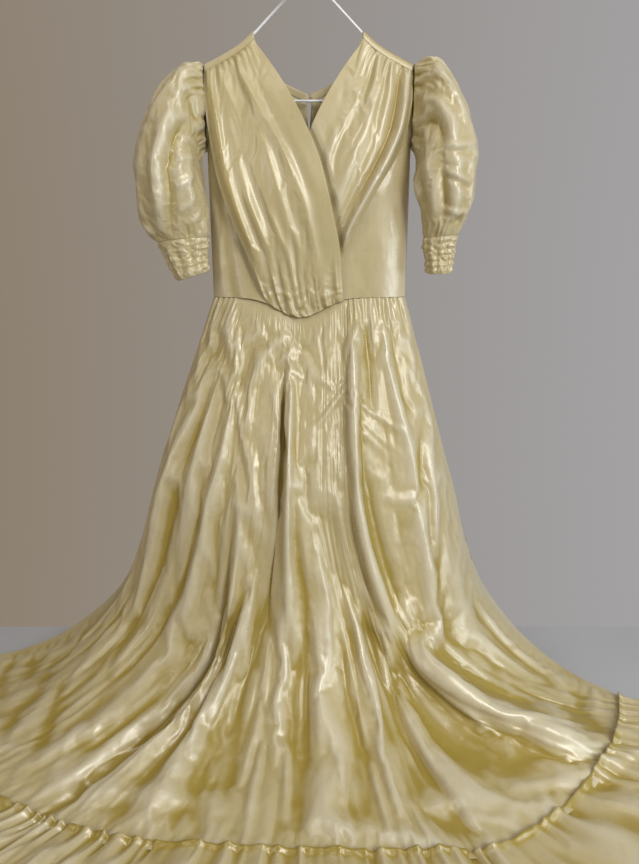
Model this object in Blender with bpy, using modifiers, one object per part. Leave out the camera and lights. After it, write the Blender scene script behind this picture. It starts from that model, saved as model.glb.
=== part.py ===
# Satin wedding gown hung on a wire hanger, its skirt fanned out over the floor.
# Metres, +Z up. X runs along the hanger and the front of the gown faces -Y.
# The origin is the inside top of the hanger's hook, where a rail or peg holds it.
import math
from collections import namedtuple

import bmesh
import bpy
import numpy as np

# Heights in the tables are above the floor, which lies this far below the hook.
FLOOR_DROP = 1.27

WALL = 0.0012
SEAM_GAP = 0.0003
LAYER = WALL + SEAM_GAP

# Hanger: coated wire, bent into a hook, two shoulders and a straight bar.
WIRE_RADIUS = 0.002
WIRE_BELOW_SHOULDER = 0.0031
HOOK_INSIDE_RADIUS = 0.020
HOOK_RADIUS = HOOK_INSIDE_RADIUS + WIRE_RADIUS
HOOK_START_DEG = 205
HOOK_SWEEP_DEG = 295
HOOK_STEPS = 10
APEX_HEIGHT = 1.214
SHANK_FOOT = 0.004
BAR_HEIGHT = 1.033
HANGER_END_X = 0.205
HANGER_END_RADIUS = 0.0145
HANGER_END_START_DEG = 50
HANGER_END_SWEEP_DEG = 140
HANGER_END_STEPS = 4
NECK_WRAP_TURNS = 1.5
NECK_WRAP_STEPS = 8
NECK_WRAP_RADIUS = 2 * WIRE_RADIUS + 0.0006
NECK_WRAP_DROP = 0.001

# Bodice: straight sides from the underarm to the waist.
SIDE_X = 0.173
UNDERARM_HEIGHT = 0.957
ARMHOLE_OPEN = 0.008
SIDE_FRONT_TOP = 1.020
WAIST_HEIGHT = 0.711
WAIST_POINT_X = -0.016
WAIST_POINT_DROP = 0.032
WAIST_POINT_WIDTH = 0.052
WAIST_DEPTH = 0.043
NECK_X = 0.090
SHOULDER_STATIONS = 7
SHOULDER_TIP_X = 0.1725
ARMHOLE_X = 0.1739
YOKE_DROP = 0.0125
YOKE_DEPTH = 0.0062

# Draped fronts: how far they stand off at their ends and at their middles.
OVER_STAND = (0.0046, 0.0150)
UNDER_STAND = (0.0028, 0.0085)
UNDER_MARGIN = 0.016
UNDER_COVERED_AWAY = 0.0034
DRAPE_TOP_SHARE = 0.14
DRAPE_FOOT_SHARE = 0.20
DRAPE_TUCK_SHARE = 0.07
NECK_BAND_SHARE = 0.20
NECK_EDGE_SHARE = 0.15
SHOULDER_GATHERS = 8
SHOULDER_GATHER_RISE = 0.0022
WAIST_FOLDS = 7
WAIST_FOLD_RISE = 0.0024

# Smooth panels between the drape and the side seams.
SIDE_FRONT_COLUMNS = 7
SIDE_FRONT_ROWS = 9
SIDE_FRONT_TUCKED = 0.034
SIDE_FRONT_LEAST = 0.012
SIDE_FRONT_CREASE = 0.0016
SIDE_FRONT_CREASE_TOP = 0.85

# Back, with a shallow V neckline that a hook closes over a slit.
BACK_DEPTH = 0.009
BACK_BEHIND_WIRE = 0.0042
BACK_COLUMNS = (0.0, 0.14, 0.28, 0.40, 0.47, 0.53, 0.68, 0.84, 1.0)
BACK_BODICE_ROWS = 10
BACK_NECK_HEIGHT = 1.046
BACK_NECK_RISE = 0.028
BACK_NECK_REACH = 0.065
BACK_NECK_POWER = 1.1
BACK_SHOULDER_FROM = 0.062
BACK_SHOULDER_BLEND = 0.026
BACK_NECK_BAND = 0.013
BACK_BAND_COLUMNS = 5
BACK_SLIT_LENGTH = 0.075
BACK_SLIT_HALF = 0.0045
BACK_SLIT_SHARE = 0.28
BAND_SLIT_SHARE = 0.35
NECK_HOOK_WIRE = 0.0005
NECK_HOOK_REACH = 0.004
NECK_HOOK_AWAY = 0.0009

# Skirt and ruffle.
KNEE_HEIGHT = 0.42
SHIN_HEIGHT = 0.14
TURN_HEIGHT = 0.036
KNEE_DEPTH = 0.149
SHIN_DEPTH = 0.25
KNEE_AT = 0.335
SHIN_AT = 0.66
TURN_AT = 0.84
TURN_REACH = 0.47
REST_HEIGHT = 0.0016
LEDGE_HEIGHT = 0.016
LEDGE_SLOPE = 0.035
RUFFLE_LENGTH = 0.150
FRONT_RUFFLE_WAVES = 40
BACK_RUFFLE_WAVES = 12
RUFFLE_END_GAP = 0.0005

Shoulder = namedtuple("Shoulder", "x height")
SHOULDER = (
    Shoulder(0.060, 1.162),
    Shoulder(0.090, 1.136),
    Shoulder(0.116, 1.116),
    Shoulder(0.150, 1.098),
    Shoulder(0.176, 1.086),
)

# How far the front stands forward of the side seams.
Bulge = namedtuple("Bulge", "height depth")
FRONT_BULGE = (
    Bulge(0.670, 0.0430),
    Bulge(0.740, 0.0420),
    Bulge(0.880, 0.0460),
    Bulge(0.960, 0.0380),
    Bulge(1.040, 0.0200),
    Bulge(1.090, 0.0085),
    Bulge(1.130, 0.0060),
)

# Draped fronts, one row for each section from the shoulder down to the waist.
Drape = namedtuple("Drape", "neck_x neck_height outer_x outer_height")
OVER_FRONT = (
    Drape(-0.0900, 1.1235, -0.1730, 1.0785),
    Drape(-0.0500, 1.0700, -0.1725, 1.0450),
    Drape(-0.0130, 1.0080, -0.1670, 0.9850),
    Drape(0.0190, 0.9350, -0.1550, 0.9150),
    Drape(0.0390, 0.8570, -0.1340, 0.8500),
    Drape(0.0540, 0.7850, -0.1010, 0.7750),
    Drape(0.0620, 0.7100, -0.0660, 0.7100),
)
UNDER_FRONT = (
    Drape(0.0900, 1.1235, 0.1730, 1.0785),
    Drape(0.0500, 1.0700, 0.1725, 1.0400),
    Drape(0.0150, 1.0100, 0.1660, 0.9900),
    Drape(-0.0130, 0.9450, 0.1480, 0.9450),
    Drape(-0.0330, 0.8800, 0.1180, 0.8950),
    Drape(-0.0450, 0.8150, 0.0800, 0.8300),
    Drape(-0.0500, 0.7600, 0.0480, 0.7650),
    Drape(-0.0480, 0.7100, 0.0200, 0.7100),
)

# The small hook at the back neckline, from its eye round its bend.
HookBend = namedtuple("HookBend", "across lift")
NECK_HOOK_ROUTE = (
    HookBend(-1.0, -0.0010),
    HookBend(-0.3, -0.0016),
    HookBend(0.6, -0.0008),
    HookBend(1.0, 0.0008),
    HookBend(0.5, 0.0020),
    HookBend(-0.2, 0.0012),
)

# Section of the strip over the hanger, from the back to the front.
YokePoint = namedtuple("YokePoint", "y drop")
YOKE_SECTION = (
    YokePoint(0.0058, YOKE_DROP),
    YokePoint(0.0046, 0.0050),
    YokePoint(0.0030, 0.0012),
    YokePoint(0.0, 0.0),
    YokePoint(-0.0030, 0.0012),
    YokePoint(-0.0046, 0.0050),
    YokePoint(-YOKE_DEPTH, YOKE_DROP),
)

# Folds of a panel: across is 0 at its first edge and 1 at its last, down is 0 at the top.
Fold = namedtuple("Fold", "across rise width start end lean")
OVER_FOLDS = (
    Fold(0.30, 0.0050, 0.045, -0.10, 0.75, 0.0),
    Fold(0.45, 0.0070, 0.055, -0.10, 0.90, 0.0),
    Fold(0.61, 0.0045, 0.045, -0.10, 0.65, 0.0),
    Fold(0.75, 0.0080, 0.055, 0.00, 0.95, 0.0),
    Fold(0.91, 0.0100, 0.060, -0.10, 1.00, 0.0),
)
UNDER_FOLDS = (
    Fold(0.34, 0.0050, 0.055, -0.10, 0.45, 0.0),
    Fold(0.57, 0.0065, 0.070, -0.10, 0.80, 0.0),
    Fold(0.90, 0.0110, 0.070, -0.10, 1.00, 0.0),
)

# Sleeves, one row for each ring from the armhole seam to the cuff seam.
Ring = namedtuple("Ring", "outer_x outer_height inner_x inner_height half_depth middle_y")
LEFT_SLEEVE = (
    Ring(ARMHOLE_X, 1.086, ARMHOLE_X, 0.961, 0.0120, -0.004),
    Ring(0.1980, 1.088, 0.1830, 0.942, 0.0340, -0.012),
    Ring(0.2340, 1.058, 0.1820, 0.925, 0.0500, -0.022),
    Ring(0.2680, 0.998, 0.1790, 0.908, 0.0570, -0.030),
    Ring(0.2900, 0.925, 0.1750, 0.888, 0.0570, -0.034),
    Ring(0.2910, 0.864, 0.1730, 0.866, 0.0510, -0.034),
    Ring(0.2810, 0.828, 0.1730, 0.842, 0.0390, -0.034),
    Ring(0.2600, 0.806, 0.1740, 0.815, 0.0260, -0.034),
)
RIGHT_SLEEVE = (
    Ring(ARMHOLE_X, 1.088, ARMHOLE_X, 0.961, 0.0120, -0.004),
    Ring(0.2040, 1.094, 0.1830, 0.940, 0.0340, -0.014),
    Ring(0.2360, 1.060, 0.1810, 0.922, 0.0500, -0.026),
    Ring(0.2640, 1.002, 0.1760, 0.904, 0.0570, -0.034),
    Ring(0.2790, 0.940, 0.1780, 0.886, 0.0560, -0.038),
    Ring(0.2780, 0.884, 0.1860, 0.866, 0.0500, -0.038),
    Ring(0.2680, 0.846, 0.1930, 0.842, 0.0400, -0.037),
    Ring(0.2540, 0.818, 0.1970, 0.814, 0.0260, -0.036),
)
LEFT_CUFF = (
    Ring(0.2590, 0.8050, 0.1745, 0.8140, 0.0250, -0.034),
    Ring(0.2500, 0.7850, 0.1755, 0.7960, 0.0225, -0.034),
    Ring(0.2400, 0.7640, 0.1765, 0.7780, 0.0215, -0.034),
    Ring(0.2280, 0.7410, 0.1770, 0.7560, 0.0230, -0.034),
)
RIGHT_CUFF = (
    Ring(0.2535, 0.8170, 0.1975, 0.8130, 0.0250, -0.036),
    Ring(0.2490, 0.7950, 0.1995, 0.7920, 0.0220, -0.037),
    Ring(0.2460, 0.7750, 0.2030, 0.7730, 0.0200, -0.038),
    Ring(0.2420, 0.7530, 0.2080, 0.7530, 0.0210, -0.039),
)
# Across is the share of a turn from the outer edge, by way of the front.
SLEEVE_FOLDS = (
    Fold(0.10, 0.006, 0.035, 0.10, 1.00, 0.0),
    Fold(0.22, 0.010, 0.030, 0.12, 1.00, 0.0),
    Fold(0.29, -0.010, 0.026, 0.10, 0.98, 0.0),
    Fold(0.37, 0.007, 0.030, 0.10, 0.95, 0.0),
    Fold(0.64, 0.007, 0.035, 0.12, 0.95, 0.0),
    Fold(0.77, 0.009, 0.035, 0.10, 0.98, 0.0),
    Fold(0.87, -0.008, 0.028, 0.12, 0.95, 0.0),
)
SLEEVE_GATHERS = 10
SLEEVE_GATHER_RISE = 0.0052
SLEEVE_CAP_SHARE = 0.40
SLEEVE_WRIST_FROM = 0.62
SLEEVE_WRIST_SHARE = 0.30
SLEEVE_COLUMNS = 40
SLEEVE_ROWS = 8
ARMHOLE_POWER = 0.6
ARMHOLE_POWER_SHARE = 0.30
CUFF_GATHERS = 10
CUFF_RISE = 0.0026
CUFF_ROWS = 4

# Skirt, one row for each main fold line from the left side round the front to the right.
SkirtLine = namedtuple("SkirtLine", "waist_x knee_x shin_x seam_x seam_y")
FRONT_LINES = (
    SkirtLine(-0.173, -0.281, -0.382, -0.670, -0.100),
    SkirtLine(-0.135, -0.245, -0.335, -0.620, -0.280),
    SkirtLine(-0.108, -0.175, -0.262, -0.530, -0.385),
    SkirtLine(-0.080, -0.126, -0.165, -0.400, -0.455),
    SkirtLine(-0.050, -0.066, -0.125, -0.265, -0.495),
    SkirtLine(-0.026, -0.034, -0.036, -0.060, -0.512),
    SkirtLine(0.022, 0.020, 0.070, 0.110, -0.518),
    SkirtLine(0.052, 0.055, 0.118, 0.245, -0.515),
    SkirtLine(0.078, 0.082, 0.165, 0.460, -0.375),
    SkirtLine(0.125, 0.180, 0.235, 0.545, -0.260),
    SkirtLine(0.173, 0.259, 0.350, 0.565, -0.205),
)
FRONT_FOLDS = (
    Fold(0.50, 0.012, 0.24, 0.05, 0.92, 0.0),
    Fold(1.05, 0.018, 0.22, 0.02, 1.02, 0.0),
    Fold(1.65, 0.012, 0.20, 0.10, 1.00, 0.0),
    Fold(2.25, 0.015, 0.20, 0.12, 1.02, 0.0),
    Fold(3.00, -0.015, 0.17, 0.45, 1.05, 0.0),
    Fold(3.35, 0.018, 0.20, 0.25, 1.05, 0.0),
    Fold(4.00, 0.015, 0.20, 0.45, 1.05, 0.0),
    Fold(4.50, -0.014, 0.17, 0.06, 0.75, 0.0),
    Fold(5.00, 0.018, 0.20, 0.05, 0.85, 0.0),
    Fold(5.60, 0.013, 0.22, 0.40, 1.05, 0.0),
    Fold(6.30, 0.013, 0.20, 0.50, 1.05, 0.0),
    Fold(6.90, -0.012, 0.20, 0.45, 1.05, 0.0),
    Fold(7.90, 0.018, 0.22, 0.02, 0.75, 0.0),
    Fold(8.35, 0.036, 0.32, 0.62, 1.05, -0.030),
    Fold(8.95, 0.015, 0.22, 0.03, 0.95, 0.0),
    Fold(9.45, 0.011, 0.20, 0.10, 0.90, 0.0),
)
# The waist is gathered on both sides; positions and widths count in fold lines.
WAIST_GATHERS_LEFT = 5
LEFT_GATHERS_END = 1.30
WAIST_GATHERS_RIGHT = 8
RIGHT_GATHERS_START = 7.60
RIGHT_GATHERS_SPAN = 2.40
GATHER_RISE = 0.0028
GATHER_FADE = 0.13
FRONT_CALM_EDGE = 0.25
BACK_CALM_EDGE = 0.30
BACK_MEETS_FRONT = 0.45
SIDE_SEAM_LEFT = 1.35
FRONT_SEAM_LEFT = 2.7
FRONT_SEAM_RIGHT = 7.2
SIDE_SEAM_RIGHT = 8.65
BACK_SEAM = 2.5
SEAM_DRAW = 0.0004
SPARE_COLUMN = 0.02
FLOOR_BLEND = 0.003
FRONT_ROWS = (0, 0.03, 0.08, 0.15, 0.24, 0.335, 0.43, 0.52, 0.61, 0.69, 0.76, 0.82, 0.88, 0.94, 1.0)
BACK_ROWS = (0, 0.08, 0.20, 0.335, 0.47, 0.60, 0.69, 0.74, 0.78, 0.83, 0.91, 1.0)

# The back hangs flat, meets the floor and turns forward beneath the front.
BACK_WAIST_DEPTH = 0.010
BACK_KNEE_Y = 0.012
BACK_SHIN_Y = 0.014
BACK_FOOT_HEIGHT = 0.018
BACK_FOOT_AT = 0.78
BackLine = namedtuple("BackLine", "waist_x knee_x shin_x foot_x seam_x seam_y hem_x hem_y")
BACK_LINES = (
    BackLine(-0.173, -0.281, -0.382, -0.500, -0.670, -0.100, -0.800, -0.130),
    BackLine(-0.105, -0.165, -0.230, -0.290, -0.400, -0.215, -0.500, -0.320),
    BackLine(-0.040, -0.060, -0.080, -0.095, -0.135, -0.240, -0.170, -0.395),
    BackLine(0.030, 0.045, 0.060, 0.070, 0.090, -0.270, 0.110, -0.440),
    BackLine(0.105, 0.160, 0.215, 0.250, 0.330, -0.250, 0.370, -0.390),
    BackLine(0.173, 0.259, 0.350, 0.420, 0.565, -0.205, 0.640, -0.300),
)
BACK_FOLDS = (
    Fold(0.60, 0.010, 0.22, 0.05, 0.80, 0.0),
    Fold(1.40, 0.013, 0.24, 0.10, 0.80, 0.0),
    Fold(2.10, 0.010, 0.22, 0.03, 0.75, 0.0),
    Fold(2.95, 0.012, 0.22, 0.05, 0.80, 0.0),
    Fold(3.70, 0.013, 0.24, 0.08, 0.80, 0.0),
    Fold(4.40, 0.010, 0.22, 0.05, 0.80, 0.0),
)

# Rows of a ruffle: share of the skirt, length past its seam, height above it and of its waves.
RuffleRow = namedtuple("RuffleRow", "down beyond stand swing")
FRONT_RUFFLE = (
    RuffleRow(0.9891, 0.000, 0.0060, 0.0045),
    RuffleRow(0.9978, 0.000, 0.0033, 0.0012),
    RuffleRow(1.0000, 0.060, 0.0030, 0.0080),
    RuffleRow(1.0000, RUFFLE_LENGTH, 0.0015, 0.0130),
)
BACK_RUFFLE = (
    RuffleRow(1.0, RUFFLE_END_GAP, 0.0, 0.0005),
    RuffleRow(1.0, 0.070, 0.0, 0.0030),
    RuffleRow(1.0, RUFFLE_LENGTH, 0.0, 0.0045),
)

SATIN = (0.79, 0.72, 0.52, 1.0)
SATIN_SHADE = (0.74, 0.66, 0.44, 1.0)
COATED_WIRE = (0.92, 0.92, 0.93, 1.0)
HOOK_METAL = (0.80, 0.66, 0.34, 1.0)


def clear_scene():
    for item in list(bpy.data.objects):
        bpy.data.objects.remove(item, do_unlink=True)


def make_material(name, colour, roughness, metallic=0.0):
    material = bpy.data.materials.new(name)
    material.use_nodes = True
    shader = material.node_tree.nodes["Principled BSDF"]
    shader.inputs["Base Color"].default_value = colour
    shader.inputs["Roughness"].default_value = roughness
    shader.inputs["Metallic"].default_value = metallic
    return material


def column(table, name):
    return np.array([getattr(row, name) for row in table], float)


def smooth(stations, values, at):
    """Curve through the values that never overshoots them; values may have more axes."""
    x = np.asarray(stations, float)
    y = np.asarray(values, float)
    at = np.asarray(at, float)
    step = np.diff(x).reshape((-1,) + (1,) * (y.ndim - 1))
    slope = np.diff(y, axis=0) / step
    tangent = np.zeros_like(y)
    tangent[0], tangent[-1] = slope[0], slope[-1]
    before, after = slope[:-1], slope[1:]
    turning = before * after <= 0
    total = np.where(turning, 1.0, before + after)
    tangent[1:-1] = np.where(turning, 0.0, 2 * before * after / total)
    i = np.clip(np.searchsorted(x, at) - 1, 0, len(x) - 2)
    shape = at.shape + (1,) * (y.ndim - 1)
    f = ((at - x[i]) / (x[i + 1] - x[i])).reshape(shape)
    span = step.reshape(-1)[i].reshape(shape)
    start = (1 + 2 * f) * (1 - f) ** 2 * y[i] + f * (1 - f) ** 2 * span * tangent[i]
    finish = f ** 2 * (3 - 2 * f) * y[i + 1] + f ** 2 * (f - 1) * span * tangent[i + 1]
    return start + finish


def ease(value):
    value = np.clip(value, 0.0, 1.0)
    return value * value * (3 - 2 * value)


def hump(value):
    return np.exp(-value * value)


def at_least(value, low, blend):
    """The larger of the two, with a rounded change from one to the other."""
    return 0.5 * (value + low + np.sqrt((value - low) ** 2 + blend * blend))


def shoulder_height(x):
    return smooth(column(SHOULDER, "x"), column(SHOULDER, "height"), np.abs(x))


def shoulder_x():
    return np.linspace(NECK_X - 0.001, SHOULDER_TIP_X, SHOULDER_STATIONS)


def waist_height(x):
    dip = hump((x - WAIST_POINT_X) / WAIST_POINT_WIDTH)
    return WAIST_HEIGHT - WAIST_POINT_DROP * dip


def front_y(x, height):
    """The front of the bodice: flat at the side seams, open at the armholes, fullest at the middle."""
    bulge = smooth(column(FRONT_BULGE, "height"), column(FRONT_BULGE, "depth"), height)
    widest = SIDE_X - ARMHOLE_OPEN * ease((height - UNDERARM_HEIGHT) / 0.03)
    across = np.sqrt(np.clip(1 - (np.minimum(np.abs(x), widest) / SIDE_X) ** 2, 0.0, 1.0))
    return -LAYER / 2 - bulge * across


def back_y(x, height):
    """The back of the bodice: behind the hanger at the shoulders, nearly flat below."""
    behind_wire = BACK_BEHIND_WIRE * ease((height - UNDERARM_HEIGHT + 0.02) / 0.05)
    across = np.clip(1 - (x / SIDE_X) ** 2, 0.0, 1.0)
    return LAYER / 2 + behind_wire + BACK_DEPTH * across


def fold_relief(folds, across, down):
    """Height of a panel's folds, and how far they lean sideways."""
    rise = np.zeros((len(down), len(across)))
    lean = np.zeros_like(rise)
    for fold in folds:
        profile = hump((across - fold.across) / fold.width)[None, :]
        fade = (fold.end - fold.start) / 3
        come = ease((down - fold.start) / fade) * ease((fold.end - down) / fade)
        rise += fold.rise * profile * come[:, None]
        lean += fold.lean * profile * come[:, None]
    return rise, lean


def gather_relief(waves, across, phase=0.0):
    return 0.5 - 0.5 * np.cos(2 * math.pi * (waves * across + phase))


def grid_normals(points, closed=False):
    """Outward unit normals of a grid whose rows run down and columns to the right."""
    down = np.gradient(points, axis=0)
    if closed:
        ring = np.concatenate([points[:, -2:-1], points, points[:, 1:2]], axis=1)
        across = np.gradient(ring, axis=1)[:, 1:-1]
    else:
        across = np.gradient(points, axis=1)
    normal = np.cross(down, across)
    return normal / np.maximum(np.linalg.norm(normal, axis=2, keepdims=True), 1e-9)


def unit(vectors):
    return vectors / np.maximum(np.linalg.norm(vectors, axis=-1, keepdims=True), 1e-9)


def cloth(name, points, material, closed=False, thickness=WALL):
    """A wall of cloth from a grid of points, rows down and columns to the right."""
    rows, columns, _ = points.shape
    mesh = bpy.data.meshes.new(name)
    sheet = bmesh.new()
    bmesh.ops.create_grid(sheet, x_segments=columns - 1, y_segments=rows - 1, size=1.0)
    for vertex in sheet.verts:
        i = round((vertex.co.x + 1) / 2 * (columns - 1))
        j = round((1 - vertex.co.y) / 2 * (rows - 1))
        place = points[j, i]
        vertex.co = (place[0], place[1], place[2] - FLOOR_DROP)
    if closed:
        bmesh.ops.remove_doubles(sheet, verts=sheet.verts, dist=0.00001)
    sheet.to_mesh(mesh)
    sheet.free()
    mesh.shade_smooth()
    piece = bpy.data.objects.new(name, mesh)
    bpy.data.collections["wedding_gown"].objects.link(piece)
    mesh.materials.append(material)
    wall = piece.modifiers.new("wall", "SOLIDIFY")
    wall.thickness = thickness
    wall.offset = 0.0
    return piece


def build_hanger(material):
    x = shoulder_x()
    top = shoulder_height(x)
    below = WIRE_BELOW_SHOULDER * np.hypot(1.0, np.gradient(top, x))
    arm = [(a, 0.0, b) for a, b in zip(x, top - below)]
    end_middle = BAR_HEIGHT + HANGER_END_RADIUS
    turn = HANGER_END_X - HANGER_END_RADIUS
    end = []
    for step in range(HANGER_END_STEPS + 1):
        angle = math.radians(HANGER_END_START_DEG - step * HANGER_END_SWEEP_DEG / HANGER_END_STEPS)
        end.append((turn + HANGER_END_RADIUS * math.cos(angle), 0.0,
                    end_middle + HANGER_END_RADIUS * math.sin(angle)))
    right = arm + end
    left = [(-x, y, z) for x, y, z in reversed(right)]
    hook_middle = FLOOR_DROP - HOOK_INSIDE_RADIUS
    route = []
    for step in range(HOOK_STEPS + 1):
        angle = math.radians(HOOK_START_DEG - step * HOOK_SWEEP_DEG / HOOK_STEPS)
        route.append((HOOK_RADIUS * math.cos(angle), 0.0,
                      hook_middle + HOOK_RADIUS * math.sin(angle)))
    route.append((0.0, 0.0, APEX_HEIGHT + SHANK_FOOT))
    route += right + left
    for step in range(int(NECK_WRAP_TURNS * NECK_WRAP_STEPS) + 1):
        angle = math.pi + 2 * math.pi * step / NECK_WRAP_STEPS
        climb = NECK_WRAP_RADIUS * step / NECK_WRAP_STEPS
        route.append((NECK_WRAP_RADIUS * math.cos(angle), NECK_WRAP_RADIUS * math.sin(angle),
                      APEX_HEIGHT - NECK_WRAP_DROP + climb))
    curve = bpy.data.curves.new("hanger", "CURVE")
    curve.dimensions = "3D"
    curve.bevel_depth = WIRE_RADIUS
    curve.bevel_resolution = 2
    curve.use_fill_caps = True
    spline = curve.splines.new("POLY")
    spline.points.add(len(route) - 1)
    for point, (x, y, z) in zip(spline.points, route):
        point.co = (x, y, z - FLOOR_DROP, 1.0)
    curve.materials.append(material)
    piece = bpy.data.objects.new("hanger", curve)
    bpy.data.collections["wedding_gown"].objects.link(piece)


def drape_grid(table, columns, rows, away, folds):
    """A draped front: from its neck edge across to its folded outer edge."""
    across = np.linspace(0, 1, columns)
    down = np.linspace(0, 1, rows)
    stations = np.linspace(0, 1, len(table))
    edges = smooth(stations, np.array(table, float), down)
    neck_x, neck_h, outer_x, outer_h = (edges[:, k:k + 1] for k in range(4))
    x = neck_x + (outer_x - neck_x) * across
    height = neck_h + (outer_h - neck_h) * across
    top = shoulder_height(x) - YOKE_DROP - SEAM_GAP
    straight = NECK_EDGE_SHARE + (1 - NECK_EDGE_SHARE) * ease(across / NECK_BAND_SHARE)
    height += (top - height) * (1 - ease(down[:, None] / (DRAPE_TOP_SHARE * straight)))
    bottom = waist_height(x) + SEAM_GAP
    height += (bottom - height) * ease(1 - (1 - down) / DRAPE_FOOT_SHARE)[:, None]
    rise, _ = fold_relief(folds, across, down)
    gathered = (across - NECK_BAND_SHARE) / (1 - NECK_BAND_SHARE)
    shoulder_gathers = gather_relief(SHOULDER_GATHERS, gathered) * ease(gathered / 0.08)
    rise += SHOULDER_GATHER_RISE * shoulder_gathers * (1 - ease(down / 0.22))[:, None]
    rise *= ease(0.35 + down / 0.10)[:, None] * ease(0.25 + (1 - down) / 0.12)[:, None]
    waist_folds = gather_relief(WAIST_FOLDS, across) * ease((down - 0.80) / 0.12)[:, None]
    rise += WAIST_FOLD_RISE * waist_folds
    tuck = ease((1 - across) / DRAPE_TUCK_SHARE)
    fullness = ease(down / 0.30) * ease((1 - down) / 0.25)
    stand = away[0] + (away[1] - away[0]) * fullness[:, None]
    y = front_y(x, height) - stand - rise * tuck
    at_yoke = (1 - ease(down / 0.10))[:, None]
    y += (-YOKE_DEPTH - rise - y) * at_yoke
    return np.stack([x, y, height], axis=2)


def build_fronts(material):
    over = drape_grid(OVER_FRONT, 25, 14, OVER_STAND, OVER_FOLDS)
    cloth("front_over", over, material)
    under = drape_grid(UNDER_FRONT, 21, 13, UNDER_STAND, UNDER_FOLDS)
    over_heights = column(OVER_FRONT, "neck_height")[::-1]
    over_edge = smooth(over_heights, column(OVER_FRONT, "neck_x")[::-1], under[:, :, 2])
    covered = ease((over_edge + UNDER_MARGIN - under[:, :, 0]) / UNDER_MARGIN)
    base = front_y(under[:, :, 0], under[:, :, 2]) - UNDER_COVERED_AWAY
    under[:, :, 1] += (base - under[:, :, 1]) * covered
    cloth("front_under", under, material)


def build_side_front(side, name, material):
    """The smooth panel that shows between the drape and the side seam."""
    table = OVER_FRONT if side < 0 else UNDER_FRONT
    heights = column(table, "outer_height")
    outer = np.abs(column(table, "outer_x"))
    height = np.linspace(SIDE_FRONT_TOP, WAIST_HEIGHT, SIDE_FRONT_ROWS)
    edge = smooth(heights[::-1], outer[::-1], height)
    inner = np.maximum(edge - SIDE_FRONT_TUCKED, SIDE_FRONT_LEAST)
    across = np.linspace(0, 1, SIDE_FRONT_COLUMNS)
    x = side * (SIDE_X + (inner - SIDE_X)[:, None] * across)
    bottom = waist_height(x) + 4 * SEAM_GAP
    grown = np.broadcast_to(height[:, None], x.shape).copy()
    grown += (bottom - grown) * ease((WAIST_HEIGHT + 0.10 - grown) / 0.10)
    creased = ease((SIDE_FRONT_CREASE_TOP - height) / 0.10)[:, None]
    y = front_y(x, grown) - SIDE_FRONT_CREASE * gather_relief(2, across)[None, :] * creased
    points = np.stack([x, y, grown], axis=2)
    if side > 0:
        points = points[:, ::-1]
    cloth(name, points, material)


def back_top(x):
    """Upper edge of the back: a shallow V neckline, then the shoulder."""
    neckline = BACK_NECK_HEIGHT + BACK_NECK_RISE * (x / BACK_NECK_REACH) ** BACK_NECK_POWER
    shoulder = shoulder_height(np.maximum(x, NECK_X)) - YOKE_DROP
    climb = ease((x - BACK_SHOULDER_FROM) / BACK_SHOULDER_BLEND)
    return neckline + (shoulder - neckline) * climb


def build_back(side, name, material, band_name, band_material):
    across = np.array(BACK_COLUMNS)
    middle = SEAM_GAP / 2
    flat_x = middle + (SIDE_X - middle) * across
    below_band = np.where(flat_x < NECK_X, BACK_NECK_BAND + SEAM_GAP, SEAM_GAP)
    top = back_top(flat_x) - below_band
    down = np.linspace(0, 1, BACK_BODICE_ROWS)
    height = top[None, :] + (WAIST_HEIGHT + SEAM_GAP - top)[None, :] * down[:, None]
    open_here = ease((height - BACK_NECK_HEIGHT) / BACK_SLIT_LENGTH + 1)
    near_middle = 1 - ease(across / BACK_SLIT_SHARE)
    x = flat_x[None, :] + BACK_SLIT_HALF * open_here * near_middle[None, :]
    y = back_y(x, height)
    points = np.stack([side * x, y, height], axis=2)
    if side > 0:
        points = points[:, ::-1]
    cloth(name, points, material)
    edge = flat_x[:BACK_BAND_COLUMNS]
    band_height = np.stack([back_top(edge), back_top(edge) - BACK_NECK_BAND / 2,
                            back_top(edge) - BACK_NECK_BAND])
    band_x = np.broadcast_to(edge, band_height.shape).copy()
    band_x += BAND_SLIT_SHARE * BACK_SLIT_HALF * near_middle[None, :BACK_BAND_COLUMNS]
    band = np.stack([side * band_x, back_y(band_x, band_height), band_height], axis=2)
    if side > 0:
        band = band[:, ::-1]
    cloth(band_name, band, band_material)


def build_neck_hook(material):
    """The thread loop and hook that close the back neckline."""
    middle = BACK_NECK_HEIGHT - BACK_NECK_BAND / 2
    front = float(back_y(np.array(0.0), np.array(middle))) - WALL / 2 - NECK_HOOK_AWAY
    curve = bpy.data.curves.new("neck_hook", "CURVE")
    curve.dimensions = "3D"
    curve.bevel_depth = NECK_HOOK_WIRE
    curve.bevel_resolution = 1
    curve.use_fill_caps = True
    spline = curve.splines.new("POLY")
    reach = BAND_SLIT_SHARE * BACK_SLIT_HALF + NECK_HOOK_REACH
    spline.points.add(len(NECK_HOOK_ROUTE) - 1)
    for point, bend in zip(spline.points, NECK_HOOK_ROUTE):
        point.co = (bend.across * reach, front, middle + bend.lift - FLOOR_DROP, 1.0)
    curve.materials.append(material)
    piece = bpy.data.objects.new("neck_hook", curve)
    bpy.data.collections["wedding_gown"].objects.link(piece)


def build_yoke(side, name, material):
    """Narrow strip over the hanger, from the back to the gathered front."""
    x = shoulder_x()
    points = np.empty((len(YOKE_SECTION), len(x), 3))
    for row, place in enumerate(reversed(YOKE_SECTION)):
        points[row, :, 0] = side * x
        points[row, :, 1] = place.y
        points[row, :, 2] = shoulder_height(x) - place.drop
    cloth(name, points, material)


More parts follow.
